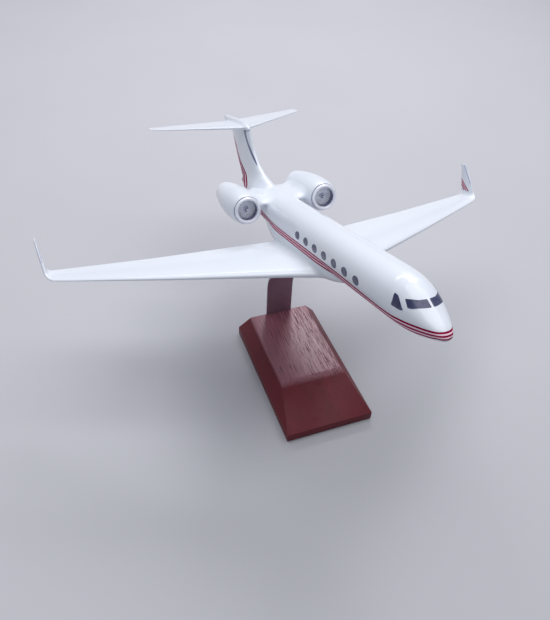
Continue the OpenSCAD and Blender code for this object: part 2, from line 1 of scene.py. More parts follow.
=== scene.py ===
import math
import bmesh
import bpy
import numpy as np
from mathutils import Matrix, Vector
from mathutils.bvhtree import BVHTree
from mathutils.geometry import delaunay_2d_cdt


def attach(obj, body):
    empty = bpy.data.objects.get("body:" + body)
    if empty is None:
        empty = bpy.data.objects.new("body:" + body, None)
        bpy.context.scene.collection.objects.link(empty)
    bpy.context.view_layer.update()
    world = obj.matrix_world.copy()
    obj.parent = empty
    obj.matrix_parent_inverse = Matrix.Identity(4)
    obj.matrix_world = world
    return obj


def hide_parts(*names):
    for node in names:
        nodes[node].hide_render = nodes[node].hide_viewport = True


# Desk model of a twin-engined business jet on a bent metal strap and a hardwood block.
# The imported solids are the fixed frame, and each piece below is drawn round its own solid.
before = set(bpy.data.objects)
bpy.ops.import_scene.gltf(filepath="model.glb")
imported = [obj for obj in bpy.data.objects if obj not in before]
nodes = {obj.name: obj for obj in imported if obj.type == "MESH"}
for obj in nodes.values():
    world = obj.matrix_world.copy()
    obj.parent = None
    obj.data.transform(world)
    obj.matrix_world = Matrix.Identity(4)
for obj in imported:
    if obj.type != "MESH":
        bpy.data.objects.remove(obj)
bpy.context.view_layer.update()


# The block: one piece of red-stained, open-pored hardwood, sawn to long bevels,
# with its edges eased by hand and a satin lacquer over the stain.
class Finish:
    """A material being mixed: its shader, and the nodes that vary its colour and gloss."""

    def __init__(self, name, **values):
        self.material = bpy.data.materials.new(name)
        self.material.use_nodes = True
        self.tree = self.material.node_tree
        self.shader = self.tree.nodes["Principled BSDF"]
        for socket, value in values.items():
            self.shader.inputs[socket.replace("_", " ")].default_value = value
        self.place = self.add("ShaderNodeTexCoord").outputs["Object"]

    def add(self, kind, **settings):
        node = self.tree.nodes.new(kind)
        for key, value in settings.items():
            setattr(node, key, value)
        return node

    def join(self, source, socket):
        self.tree.links.new(source, socket)

    def noise(self, scale, detail=3.0, rough=0.5, warp=0.0, stretch=(1, 1, 1)):
        """Noise over the piece, squeezed along each axis by the three numbers of the stretch."""
        mapping = self.add("ShaderNodeMapping")
        mapping.inputs["Scale"].default_value = stretch
        self.join(self.place, mapping.inputs["Vector"])
        node = self.add("ShaderNodeTexNoise")
        settings = {"Scale": scale, "Detail": detail, "Roughness": rough, "Distortion": warp}
        for socket, setting in settings.items():
            node.inputs[socket].default_value = setting
        self.join(mapping.outputs["Vector"], node.inputs["Vector"])
        return node.outputs[0]

    def split(self, vector):
        """The X, Y and Z of a vector."""
        node = self.add("ShaderNodeSeparateXYZ")
        self.join(vector, node.inputs[0])
        return node.outputs

    def number(self, operation, a, b=0.0, c=0.0, clamp=False):
        node = self.add("ShaderNodeMath", operation=operation, use_clamp=clamp)
        for socket, value in zip(node.inputs, (a, b, c)):
            if isinstance(value, (int, float)):
                socket.default_value = value
            else:
                self.join(value, socket)
        return node.outputs[0]

    def times(self, a, b):
        return self.number("MULTIPLY", a, b)

    def plus(self, a, b):
        return self.number("ADD", a, b)

    def spread(self, value, low, high, new_low=0.0, new_high=1.0):
        """Value from low to high turned into new_low to new_high, held at both ends."""
        node = self.add("ShaderNodeMapRange")
        for socket, setting in zip(list(node.inputs)[1:5], (low, high, new_low, new_high)):
            socket.default_value = setting
        self.join(value, node.inputs[0])
        return node.outputs[0]

    def between(self, noise, low=0.0, high=1.0):
        """Noise, most of which lies from 0.3 to 0.7, stretched from low to high."""
        return self.spread(noise, 0.3, 0.7, low, high)

    def blend(self, share, first, second):
        """The first colour where the share is nought, the second where it is one."""
        node = self.add("ShaderNodeMix", data_type="RGBA")
        sockets = (node.inputs[0], node.inputs[6], node.inputs[7])
        for socket, value in zip(sockets, (share, first, second)):
            if isinstance(value, (int, float, tuple)):
                socket.default_value = value
            else:
                self.join(value, socket)
        return node.outputs[2]

    def relief(self, height, depth, before=None):
        """Bump of the given depth in metres, laid over an earlier one."""
        node = self.add("ShaderNodeBump")
        node.inputs["Strength"].default_value = 1.0
        node.inputs["Distance"].default_value = depth
        self.join(height, node.inputs["Height"])
        if before is not None:
            self.join(before, node.inputs["Normal"])
        self.join(node.outputs[0], self.shader.inputs["Normal"])
        return node.outputs[0]

    def use(self, value, socket):
        self.join(value, self.shader.inputs[socket])


def dress(piece, finish, body=None, node=None):
    """Gives a piece its material and slot and, where it stands for a solid, its body."""
    piece.data.materials.clear()
    piece.data.materials.append(finish.material)
    if node:
        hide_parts(node)
        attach(piece, body)


def placed(name, data):
    """A new object in the room."""
    thing = bpy.data.objects.new(name, data)
    bpy.context.scene.collection.objects.link(thing)
    return thing


WELD = 2e-6
FLAT_ANGLE, ROUNDED_ANGLE, CREASE_ANGLE = math.radians(0.8), math.radians(12), math.radians(35)


def eased(node, width, name):
    """The piece's own solid with its sharp edges rounded over."""
    mesh = nodes[node].data.copy()
    bm = bmesh.new()
    bm.from_mesh(mesh)
    bmesh.ops.remove_doubles(bm, verts=bm.verts, dist=WELD)
    bmesh.ops.dissolve_limit(bm, angle_limit=FLAT_ANGLE, verts=bm.verts, edges=bm.edges)
    bm.to_mesh(mesh)
    bm.free()
    piece = placed(name, mesh)
    rounding = piece.modifiers.new("eased", "BEVEL")
    rounding.width = width
    rounding.segments = 4
    rounding.limit_method = "ANGLE"
    rounding.angle_limit = ROUNDED_ANGLE
    rounding.harden_normals = False
    bpy.context.view_layer.update()
    seen = piece.evaluated_get(bpy.context.evaluated_depsgraph_get())
    ready = bpy.data.meshes.new_from_object(seen)
    piece.modifiers.clear()
    piece.data = ready
    ready.shade_smooth()
    ready.set_sharp_from_angle(angle=CREASE_ANGLE)
    return piece


WOOD_DARK = (0.114, 0.022, 0.029, 1)
WOOD_RED = (0.185, 0.024, 0.034, 1)
WOOD_PORE = (0.075, 0.016, 0.023, 1)
# The sheen colour is a painted highlight, laid in streaks on the flat top
WOOD_PAINTED_SHEEN = (0.42, 0.165, 0.22, 1)
EASED_EDGE = 0.0012
GRAIN_DEPTH, PORE_DEPTH = 0.00006, 0.00022
FLAT_TOP = (0.030, 0.0325)

wood = Finish("stained_wood", Coat_Weight=0.05, Coat_Roughness=0.3, IOR=1.5)
figure = wood.noise(1.0, 4, 0.55, 0.6, stretch=(9, 55, 55))
fibre = wood.noise(1.0, 3, 0.6, 0.2, stretch=(30, 700, 700))
streaks = wood.noise(1.0, 2, 0.5, 0.0, stretch=(30, 760, 760))
pore_field = wood.noise(1.0, 1.5, 0.45, 0.15, stretch=(40, 900, 900))
pore_patches = wood.noise(1.0, 2, 0.5, stretch=(14, 40, 40))
# The grain is most open, and the painted sheen most streaky, to port and behind the slope
spot = wood.split(wood.place)
open_grain_and_sheen = wood.times(wood.spread(spot["Y"], -0.03, 0.015, 0.35, 1),
                        wood.spread(spot["X"], 0.03, 0.05, 1, 0.3))
pore_cut = wood.number("MULTIPLY_ADD", wood.times(pore_patches, open_grain_and_sheen), -0.2, 0.68)
pores = wood.number("MULTIPLY", wood.number("SUBTRACT", pore_field, pore_cut), 9, clamp=True)
tone = wood.plus(wood.times(figure, 0.65), wood.times(fibre, 0.45))
stain = wood.blend(wood.spread(tone, 0.32, 0.78), WOOD_DARK, WOOD_RED)
# On the flat top a pale sheen is painted into the colour in streaks: a painted highlight over the lacquer's
# own gloss
on_top = wood.spread(spot["Z"], *FLAT_TOP)
uneven_sheen = wood.times(wood.spread(streaks, 0.32, 0.64, -0.4, 0.5), open_grain_and_sheen)
painted_sheen_streak = wood.times(wood.plus(uneven_sheen, 0.44), on_top)
with_painted_sheen = wood.blend(painted_sheen_streak, stain, WOOD_PAINTED_SHEEN)
wood.use(wood.blend(pores, with_painted_sheen, WOOD_PORE), "Base Color")
dulled = wood.between(fibre, 0.36, 0.5)
wood.use(wood.number("MULTIPLY_ADD", pores, 0.25, dulled), "Roughness")
wood.use(wood.spread(on_top, 0, 1, 0.16, 0.75), "Specular IOR Level")
raised = wood.plus(wood.times(fibre, open_grain_and_sheen), wood.times(streaks, wood.times(open_grain_and_sheen, on_top)))
grain_relief = wood.relief(raised, GRAIN_DEPTH)
wood.relief(wood.times(pores, -1.0), PORE_DEPTH, grain_relief)

block = eased("wood_base", EASED_EDGE, "block")
dress(block, wood, "stand", "wood_base")

# The felt: a die-cut sheet of dark green felt glued under the block, a little
# smaller than it, so that only a thin shadow line shows at the table.
FELT_DARK, FELT_PALE = (0.008, 0.022, 0.014, 1), (0.03, 0.06, 0.04, 1)
NAP_DEPTH = 0.0002
felt = Finish("felt", Roughness=0.95, Sheen_Weight=0.5, Sheen_Roughness=0.6)
nap = felt.noise(1400, 5, 0.7, 1.5)
felt.use(felt.blend(felt.between(nap), FELT_DARK, FELT_PALE), "Base Color")
felt.relief(nap, NAP_DEPTH)
dress(nodes["base_felt"], felt)

# The strap: one strip of mill-finished steel, drawn and brushed lengthwise,
# bent twice and let into the back of the block. Its edges are deburred.
STRAP_EDGE = 0.00045
BRUSHING_DEPTH = 0.00002
# The broad faces' mauve tint is a painted reflection of the red wood block; their cloudy bloom is the
# steel's own
STEEL_DARK_REFLECTING_WOOD, STEEL_PALE_REFLECTING_WOOD = (0.29, 0.20, 0.25, 1), (0.36, 0.25, 0.31, 1)
# Pale colour of the side edges: a painted highlight line
STEEL_EDGE_HIGHLIGHT = (0.85, 0.85, 0.92, 1)
steel = Finish("strap_steel", IOR=1.5)
drawn = steel.noise(1.0, 3, 0.6, stretch=(60, 2600, 40))
bloom = steel.noise(26, 3, 0.5, 0.4)
facing = steel.split(steel.add("ShaderNodeNewGeometry").outputs["Normal"])
# The narrow side edges are painted pale and not metallic, a painted highlight line along them
edge_highlight = steel.spread(steel.number("ABSOLUTE", facing["Y"]), 0.5, 0.7)
face_with_painted_reflection = steel.blend(steel.between(bloom), STEEL_DARK_REFLECTING_WOOD, STEEL_PALE_REFLECTING_WOOD)
steel.use(steel.number("MULTIPLY_ADD", edge_highlight, -0.6, 0.6), "Metallic")
steel.use(steel.blend(edge_highlight, face_with_painted_reflection, STEEL_EDGE_HIGHLIGHT), "Base Color")
brushed = steel.spread(drawn, 0.25, 0.75, 0.34, 0.44)
steel.use(steel.plus(brushed, steel.between(bloom, 0.0, 0.06)), "Roughness")
steel.relief(drawn, BRUSHING_DEPTH)
strap = eased("support_strap", STRAP_EDGE, "strap")
dress(strap, steel, "stand", "support_strap")

# The stand's fixings: two steel wood screws from behind, and two bright pins
# riveted in the flange, on which the aircraft is pushed.
MARK_DEPTH = 0.000015


def turned_metal(name, pale, dark, rough):
    """Bare metal with fine turning marks and a little dulling."""
    metal = Finish(name, Metallic=1.0)
    marks = metal.noise(2600, 2, 0.5)
    dull = metal.noise(220, 3, 0.6)
    metal.use(metal.blend(metal.spread(dull, 0.35, 0.7), pale, dark), "Base Color")
    metal.use(metal.between(marks, rough, rough + 0.14), "Roughness")
    metal.relief(marks, MARK_DEPTH)
    return metal


screw_steel = turned_metal("screw_steel", (0.5, 0.49, 0.48, 1), (0.33, 0.32, 0.32, 1), 0.25)
pin_steel = turned_metal("pin_steel", (0.66, 0.66, 0.68, 1), (0.5, 0.5, 0.52, 1), 0.16)
dress(nodes["strap_screws"], screw_steel)
dress(nodes["locating_pins"], pin_steel)

# The fuselage: a turned cabin with a long pointed nose and a tapering tail
# cone, cast in resin, rubbed down and sprayed with bluish white gloss.
MM = 0.001
PITCH = math.radians(20)
# Where the belly stands on the strap, along the room and up, in mm, and the same spot on the aircraft
SEAT = (10.5, 204.8)
SEAT_STATION = 264.965
BELLY_DEPTH = 34.5


def in_room(points):
    """Turns station aft of the nose, distance to port and height, in mm, into metres in the room."""
    p = np.asarray(points, float)
    run, rise = SEAT_STATION - p[..., 0], p[..., 2] + BELLY_DEPTH
    x = SEAT[0] + run * math.cos(PITCH) - rise * math.sin(PITCH)
    z = SEAT[1] + run * math.sin(PITCH) + rise * math.cos(PITCH)
    return np.stack([x, p[..., 1], z], -1) * MM


def on_aircraft(points):
    """Turns metres in the room back into station, distance to port and height, in mm."""
    p = np.asarray(points, float) / MM
    x, z = p[..., 0] - SEAT[0], p[..., 2] - SEAT[1]
    run = x * math.cos(PITCH) + z * math.sin(PITCH)
    rise = z * math.cos(PITCH) - x * math.sin(PITCH)
    return np.stack([SEAT_STATION - run, p[..., 1], rise - BELLY_DEPTH], -1)


def smooth(table, s):
    """Values of a table's columns at the stations s, on curves that never overshoot."""
    t = np.asarray(table, float)
    s = np.clip(np.asarray(s, float), t[0, 0], t[-1, 0])
    gap = np.diff(t[:, 0])
    rate = np.diff(t[:, 1:], axis=0) / gap[:, None]
    bend = np.zeros_like(t[:, 1:])
    bend[0], bend[-1] = rate[0], rate[-1]
    a, b, h, g = rate[:-1], rate[1:], gap[:-1, None], gap[1:, None]
    with np.errstate(divide="ignore", invalid="ignore"):
        mean = 3 * (h + g) / ((h + 2 * g) / a + (2 * h + g) / b)
    bend[1:-1] = np.where(a * b <= 0, 0, mean)
    i = np.clip(np.searchsorted(t[:, 0], s, side="right") - 1, 0, len(t) - 2)
    u = ((s - t[i, 0]) / gap[i])[..., None]
    h = gap[i][..., None]
    return (t[i, 1:] * (2 * u ** 3 - 3 * u ** 2 + 1) + bend[i] * h * (u ** 3 - 2 * u ** 2 + u)
            + t[i + 1, 1:] * (3 * u ** 2 - 2 * u ** 3) + bend[i + 1] * h * (u ** 3 - u ** 2))


def columns(table, s):
    """The same values, one column after another."""
    return np.moveaxis(smooth(table, s), -1, 0)


RING_WELD = 4e-6


def skin(name, rings, sharp=45, closed_ends=True):
    """A smooth skin over rings of points in the room, each ring closed on itself."""
    rings = np.asarray(rings, float)
    m, n, _ = rings.shape
    bm = bmesh.new()
    verts = [bm.verts.new(p) for p in rings.reshape(-1, 3)]
    for j in range(m - 1):
        for k in range(n):
            a, b = j * n + k, j * n + (k + 1) % n
            bm.faces.new((verts[a], verts[b], verts[b + n], verts[a + n]))
    if closed_ends:
        for row in (verts[:n], verts[-n:]):
            middle = bm.verts.new(sum((v.co for v in row), Vector()) / n)
            for k in range(n):
                bm.faces.new((row[k], row[(k + 1) % n], middle))
    bmesh.ops.remove_doubles(bm, verts=bm.verts, dist=RING_WELD)
    bmesh.ops.recalc_face_normals(bm, faces=bm.faces)
    return laid_out(name, bm, sharp)


def laid_out(name, bm, sharp=45):
    """Makes a piece in the room of a finished bmesh, shaded smooth but for its sharp edges."""
    mesh = bpy.data.meshes.new(name)
    bm.to_mesh(mesh)
    bm.free()
    mesh.shade_smooth()
    mesh.set_sharp_from_angle(angle=math.radians(sharp))
    return placed(name, mesh)


# Station, half width, top, bottom and height of the widest point, in mm
BODY = [
    (0, 0.4, -12.2, -13, -12.6), (1.5, 4.6, -9.3, -14.9, -11.8), (5, 7.4, -5.4, -16.2, -9.9),
    (10, 9.9, -1.7, -17.7, -8.3), (17, 12.9, 2.8, -19.4, -6.9), (26, 16, 8.6, -21.3, -5.5),
    (37, 19, 15.4, -22.6, -4.1), (50, 21.4, 20.6, -23.1, -2.6), (66, 22.8, 22.8, -23.2, -1),
    (86, 23.2, 23.2, -23.2, 0), (330, 23.2, 23.2, -23.2, 0), (375, 22.9, 23.2, -22.3, 0.6),
    (420, 20.6, 22.8, -18.2, 3), (465, 15.4, 21.8, -9.4, 6.6), (505, 8.2, 19.6, -1.7, 9),
    (520, 4.7, 17.4, 1.6, 9.3), (530, 2.8, 14.6, 3.9, 9.2), (536, 1.7, 12, 5.7, 8.9),
    (538, 0.6, 9.5, 8.1, 8.8)]
NOSE_END, TAIL_START, BODY_LENGTH = 86, 330, 538
BODY_FACETS = 180
CABIN_RADIUS = 23.2


def body_rings(stations):
    """Sections of the fuselage: an upper and a lower half oval on the same width."""
    width, top, low, mid = columns(BODY, stations)[..., None]
    angle = np.linspace(0, 2 * np.pi, BODY_FACETS, endpoint=False)
    c, q = np.cos(angle), np.sin(angle)
    height = mid + q * np.where(q > 0, top - mid, mid - low)
    return in_room(np.stack([np.broadcast_to(stations[:, None], height.shape), width * c, height], -1))


nose_stations = np.linspace(0, math.sqrt(NOSE_END), 74) ** 2
cabin_stations = np.arange(NOSE_END + 2, TAIL_START - 1, 2.0)
tail_stations = BODY_LENGTH - (BODY_LENGTH - TAIL_START) * np.linspace(1, 0, 150) ** 1.35
body_stations = np.concatenate([nose_stations, cabin_stations, tail_stations])
fuselage = skin("fuselage_skin", body_rings(body_stations))

STRIPE_RED = (0.30, 0.004, 0.044, 1)
STRIPE_GAP = (0.91, 0.68, 0.80, 1)
# In counts of one line's width: from one line to the next, the red of it, and the whole band
STRIPE_PITCH, STRIPE_SHARE, BAND_COUNT = 1.96, 1.08, 5
PAINT_COAT, PAINT_SHINE = 0.5, 0.3
PAINT_DEEP, PAINT_CLEAR = (0.762, 0.82, 0.89, 1), (0.785, 0.838, 0.905, 1)
PEEL_DEPTH = 0.0000015
SHADE_LINE_FADE = 0.6


def white_paint(name, *bands, slate=None, slate_from=None, slate_colour=None):
    """Bluish white gloss under clear lacquer, with faint orange peel, a little dust, any matt lines, and
    any dark band: painted shade lines on the fin and winglets, and on the nacelles the bore's grey with
    painted shade in the groove.
    """
    paint = Finish(name, Coat_Weight=PAINT_COAT, Coat_Roughness=0.06, IOR=1.5,
                   Specular_IOR_Level=PAINT_SHINE)
    cloud = paint.noise(9, 2, 0.5)
    speck = paint.noise(1500, 2, 0.6)
    colour = paint.blend(paint.spread(cloud, 0.25, 0.75), PAINT_DEEP, PAINT_CLEAR)
    bare = 1.0
    for band in bands:
        count = paint.add("ShaderNodeAttribute", attribute_name=band).outputs["Fac"]
        begun = paint.number("GREATER_THAN", count, 0)
        on = paint.times(begun, paint.number("LESS_THAN", count, BAND_COUNT))
        line = paint.number("LESS_THAN", paint.number("MODULO", count, STRIPE_PITCH), STRIPE_SHARE)
        colour = paint.blend(on, colour, STRIPE_GAP)
        colour = paint.blend(paint.times(on, line), colour, STRIPE_RED)
        bare = paint.times(bare, paint.number("SUBTRACT", 1.0, on))
    # The dark band: a painted shade line on the fin and winglets, and on the nacelles the grey of the bore
    # with painted shade in the groove
    if slate:
        count = paint.add("ShaderNodeAttribute", attribute_name=slate).outputs["Fac"]
        on = paint.times(paint.spread(count, 0, 0.15), paint.spread(count, 0.85, 1, 1, 0))
        if slate_from is not None:
            high = paint.add("ShaderNodeAttribute", attribute_name="level").outputs["Fac"]
            on = paint.times(on, paint.spread(high, slate_from, slate_from + SHADE_LINE_FADE))
        colour = paint.blend(on, colour, slate_colour)
    if bands:
        paint.use(paint.times(bare, PAINT_COAT), "Coat Weight")
        paint.use(paint.times(bare, PAINT_SHINE), "Specular IOR Level")
    paint.use(colour, "Base Color")
    paint.use(paint.between(speck, 0.27, 0.33), "Roughness")
    paint.relief(paint.noise(420, 1, 0.4), PEEL_DEPTH)
    return paint


lined_white = white_paint("gloss_white_lined", "cheatline", "chevron")
dress(fuselage, lined_white, "aircraft", "fuselage")

# The cabin windows: seven ovals a side, cut from thick dark glossy film and put on
# over the paint, so that they stand just proud of it. Their gloss has a faint haze.

# In mm: how far the film stands proud and its rim is turned down, and the windows' sizes and places
PATCH_PROUD, PATCH_EDGE = 0.13, 0.35
WINDOW_LONG, WINDOW_HIGH = 12.6, 8.8
WINDOW_FIRST, WINDOW_STEP = 112.7, 24.03
WINDOW_LEVEL, WINDOW_CLIMB = 1.35, 0.36
SLOPE_STEP = 0.5

WINDOWS_A_SIDE = 7
SIDES = (("starboard", -1), ("port", 1))
GLASS_DARK, GLASS_PALE = (0.040, 0.045, 0.105, 1), (0.094, 0.100, 0.190, 1)

# In metres: how deep the faint ripple of a glossy surface is
RIPPLE_DEPTH = 0.00001


def patch(bm, outline, lift, step=0.8):
    """A thin patch: an outline filled with fine triangles, lifted on to the skin, its rim turned down."""
    outline = np.asarray(outline, float)
    low, high = outline.min(0), outline.max(0)
    along, upward = (np.arange(low[i] + step / 2, high[i], step) for i in (0, 1))
    grid = [Vector((a, b)) for a in along for b in upward]
    n = len(outline)
    edge = [Vector(p) for p in outline]
    inside = [p for p in grid if within(p, outline) and min((p - q).length for q in edge) > step * 0.55]
    points, _, faces, *_ = delaunay_2d_cdt(edge + inside, [(k, (k + 1) % n) for k in range(n)], [], 1, 1e-6)
    flat = np.array([tuple(p) for p in points])
    top = [bm.verts.new(p) for p in lift(flat, PATCH_PROUD)]
    for f in faces:
        bm.faces.new([top[k] for k in f])
    rim = [bm.verts.new(p) for p in lift(outline, -PATCH_EDGE)]
    nearest = [int(np.argmin(((flat - p) ** 2).sum(1))) for p in outline]
    for k in range(n):
        a, b = nearest[k], nearest[(k + 1) % n]
        bm.faces.new((top[a], top[b], rim[(k + 1) % n], rim[k]))
    bm.faces.new(rim)


def within(p, outline):
    """Whether a point lies inside a closed outline."""
    x, y = outline[:, 0], outline[:, 1]
    x2, y2 = np.roll(x, -1), np.roll(y, -1)
    crosses = (y > p[1]) != (y2 > p[1])
    with np.errstate(divide="ignore", invalid="ignore"):
        at = x + (p[1] - y) * (x2 - x) / (y2 - y)
    return bool(np.count_nonzero(crosses & (p[0] < at)) % 2)


def to_side(side):
    """Lifts station and height on to the starboard (-1) or port (1) side of the body."""
    def lift(flat, proud):
        width, top, low, mid = columns(BODY, flat[:, 0])
        up = flat[:, 1] - mid
        reach = np.where(up > 0, top - mid, mid - low)
        y = width * np.sqrt(np.clip(1 - (up / reach) ** 2, 0, 1))
        out = np.stack([np.zeros_like(y), y / width ** 2, up / reach ** 2], -1)
        wider = columns(BODY, flat[:, 0] + SLOPE_STEP)[0]
        slope = (wider - width) / SLOPE_STEP
        out[:, 0] = -slope * out[:, 1] * y / width
        out /= np.linalg.norm(out, axis=1)[:, None]
        where = np.stack([flat[:, 0], y, flat[:, 1]], -1) + proud * out
        where[:, 1] *= side
        return in_room(where)
    return lift


glazing = Finish("dark_glazing", Roughness=0.2, Coat_Weight=0.1, Coat_Roughness=0.06, IOR=1.4)
haze = glazing.noise(190, 2, 0.5)
glazing.use(glazing.blend(glazing.between(haze), GLASS_DARK, GLASS_PALE), "Base Color")
glazing.relief(glazing.noise(900, 2, 0.5), RIPPLE_DEPTH)

bm = bmesh.new()
turn = np.linspace(0, 2 * np.pi, 56, endpoint=False)
for _, side in SIDES:
    for i in range(WINDOWS_A_SIDE):
        station = WINDOW_FIRST + WINDOW_STEP * i + WINDOW_LONG / 2 * np.cos(turn)
        height = WINDOW_LEVEL + WINDOW_CLIMB * i + WINDOW_HIGH / 2 * np.sin(turn)
        patch(bm, np.stack([station, height], -1), to_side(side))
bmesh.ops.recalc_face_normals(bm, faces=bm.faces)
cabin_panes = laid_out("cabin_panes", bm, sharp=50)
dress(cabin_panes, glazing, "aircraft", "cabin_windows")

# The cockpit glazing: a wrap-round windscreen in two halves with a white post
# between them, and one quarter pane a side, all cut from the same dark film.
SCREEN = [(22.1, 1), (22.8, 4), (24.3, 7.4), (27, 11), (30.1, 14.1), (33.8, 15.9),
          (39.8, 14.7), (36.2, 12.4), (33.2, 9.8), (31.1, 7.5), (29.7, 4), (29.2, 1)]
QUARTER = [(51.5, 11.6), (46.8, 10.7), (43.4, 8), (37, 1.4), (40.1, 0.8), (51.1, 1.8)]


def rounded(outline, radius=0.9, sharp=25, share=0.4):
    """An outline with short curves at its sharp corners and long curves at its other points."""
    out = []
    p = np.asarray(outline, float)
    for before, at, after in zip(np.roll(p, 1, 0), p, np.roll(p, -1, 0)):
        a, b = before - at, after - at
        la, lb = np.linalg.norm(a), np.linalg.norm(b)
        turned_by = math.degrees(math.acos(np.clip(-(a @ b) / (la * lb), -1, 1)))
        cut = min(la, lb) * share
        if turned_by > sharp:
            cut = min(radius, cut)
        start, end = at + a / la * cut, at + b / lb * cut
        out += [start * (1 - t) ** 2 + 2 * at * t * (1 - t) + end * t * t for t in np.linspace(0, 1, 7)]
    return np.array(out)


def to_crown(flat, proud):
    """Lifts station and distance to port on to the top of the nose."""
    width, top, low, mid = columns(BODY, flat[:, 0])
    share = np.clip(flat[:, 1] / width, -0.999, 0.999)
    z = mid + (top - mid) * np.sqrt(1 - share ** 2)
    width_on, top_on, _, mid_on = columns(BODY, flat[:, 0] + SLOPE_STEP)
    share_on = np.clip(flat[:, 1] / width_on, -0.999, 0.999)
    slope = (mid_on + (top_on - mid_on) * np.sqrt(1 - share_on ** 2) - z) / SLOPE_STEP
    out = np.stack([-slope, (top - mid) * share / width / np.sqrt(1 - share ** 2), np.ones_like(z)], -1)
    out /= np.linalg.norm(out, axis=1)[:, None]
    return in_room(np.stack([flat[:, 0], flat[:, 1], z], -1) + proud * out)


bm = bmesh.new()
for _, side in SIDES:
    patch(bm, rounded([(s, side * y) for s, y in SCREEN]), to_crown)
    patch(bm, rounded(QUARTER), to_side(side))
bmesh.ops.recalc_face_normals(bm, faces=bm.faces)
screens = laid_out("cockpit_panes", bm, sharp=50)
dress(screens, glazing, "aircraft", "cockpit_windows")

# The belly fairing: a flat-bottomed resin tub, glued under the cabin and sprayed
# with it. It carries the wing roots and, let into its underside, the plate for
# the stand.
FAIRING = [(152, 13, -18.5), (165, 16.9, -23.2), (187, 20.9, -28.6), (215, 23.4, -32.9), (250, 24, -34.5),
           (330, 24, -34.5), (355, 22.2, -33.4), (372, 19.3, -29.6), (388, 16.2, -24.2), (402, 13.4, -18.8)]
WALL_TOP, WALL_FOOT, CORNER_HEIGHT = -4, -14, 4
SHOULDER = 0.966 * CABIN_RADIUS
CORNER = 2 / 3.2


def fairing_rings(stations):
    """Sections of the tub: a flat bottom with full corners, and a wall a side that runs in to the cabin."""
    half, low = columns(FAIRING, stations)[..., None]
    shoulder = np.minimum(half, SHOULDER)
    middle = np.maximum(WALL_FOOT, low + CORNER_HEIGHT)
    angle = np.radians(np.linspace(180, 360, 71))
    c, q = np.cos(angle), np.abs(np.sin(angle))
    y = half * np.sign(c) * np.abs(c) ** CORNER
    z = middle - (middle - low) * q ** CORNER
    down = np.linspace(0, 1, 11)[:-1]
    wall = -(shoulder + (half - shoulder) * np.sin(down * np.pi / 2))
    left = np.stack([wall, WALL_TOP + (middle - WALL_TOP) * down], -1)
    right = left[:, ::-1] * (-1, 1)
    y = np.concatenate([left[..., 0], y, right[..., 0]], 1)
    z = np.concatenate([left[..., 1], z, right[..., 1]], 1)
    return in_room(np.stack([np.broadcast_to(stations[:, None], y.shape), y, z], -1))


fairing_stations = np.concatenate([np.linspace(152, 250, 90), np.linspace(252, 328, 39),
                                   np.linspace(330, 402, 66)])
fairing = skin("fairing_skin", fairing_rings(fairing_stations))
dress(fairing, lined_white, "aircraft", "belly_fairing")

# The plate in the belly, of pale alloy, its four screws, and the two brass
# bushes that run on the stand's pins.
plate_alloy = turned_metal("plate_alloy", (0.62, 0.62, 0.64, 1), (0.48, 0.48, 0.5, 1), 0.28)
bush_brass = turned_metal("bush_brass", (0.72, 0.5, 0.2, 1), (0.5, 0.33, 0.12, 1), 0.2)
dress(nodes["belly_plate"], plate_alloy)
dress(nodes["plate_screws"], screw_steel)
dress(nodes["socket_bushes"], bush_brass)

# The wings: solid resin blades with a little thickness left at the trailing edge,
# joined through the fairing by two steel rods, and drooped towards the tips.

# Distance out, leading and trailing edge stations, their heights and thickness over chord, in mm
WING = [(18, 199.5, 331.8, -25, -25.5, 0.115), (48, 220.4, 339.3, -26.2, -26.4, 0.114),
        (165, 293.6, 368.5, -31.1, -30, 0.109), (265, 356.8, 400, -34.15, -33.2, 0.1),
        (286.6, 370.5, 407.6, -34.35, -33.9, 0.1)]
BLADE_EDGE = 0.012
BLADE_CREASE = 60
THICKNESS_CURVE = (0.2969, 0.126, 0.3516, 0.2843, 0.1015)


def straight(table, at):
    """Values of a table's columns on straight lines between its rows."""
    t = np.asarray(table, float)
    return np.stack([np.interp(at, t[:, 0], t[:, k]) for k in range(1, t.shape[1])], -1)


def blade_section(thick, edge, n=44):
    """Unit chord: upper side from the trailing edge forward, then the lower side back."""
    x = 0.5 - 0.5 * np.cos(np.linspace(0, np.pi, n))
    root, line, square, cube, fourth = THICKNESS_CURVE
    h = 5 * thick * (root * np.sqrt(x) - line * x - square * x ** 2 + cube * x ** 3 - fourth * x ** 4)
    h = h + edge * x / 2
    return np.concatenate([np.stack([x, h], -1)[::-1], np.stack([x, -h], -1)[1:]])


def blade_ring(unit, le, chord, out, height):
    """A unit section laid fore and aft from the leading edge, at a distance out and a height."""
    return np.stack([le + chord * unit[:, 0], np.full(len(unit), out), height + chord * unit[:, 1]], -1)


def both_sides(shape, node, rings, finish, sharp=BLADE_CREASE, closed_ends=True):
    """A skin to starboard and one to port, each dressed and standing for its own solid."""
    pair = {}
    for name, side in SIDES:
        pair[name] = skin(f"{name}_{shape}", rings(side), sharp, closed_ends)
        dress(pair[name], finish, "aircraft", f"{name}_{node}")
    return pair


wing_outs = np.concatenate([[18, 20], np.arange(21.6, 27, 0.2), np.arange(27.6, 36, 0.8),
                            np.arange(37, 285, 2.8), [286.6]])


def wing_rings(side):
    rings = []
    for y in wing_outs:
        le, te, z_le, z_te, thick = straight(WING, y)
        unit = blade_section(thick, BLADE_EDGE)
        rings.append(blade_ring(unit, le, te - le, side * y, z_le + (z_te - z_le) * unit[:, 0]))
    return in_room(rings)


plain_white = white_paint("gloss_white")
wings = both_sides("wing_skin", "wing", wing_rings, plain_white)
dress(nodes["wing_spars"], pin_steel)

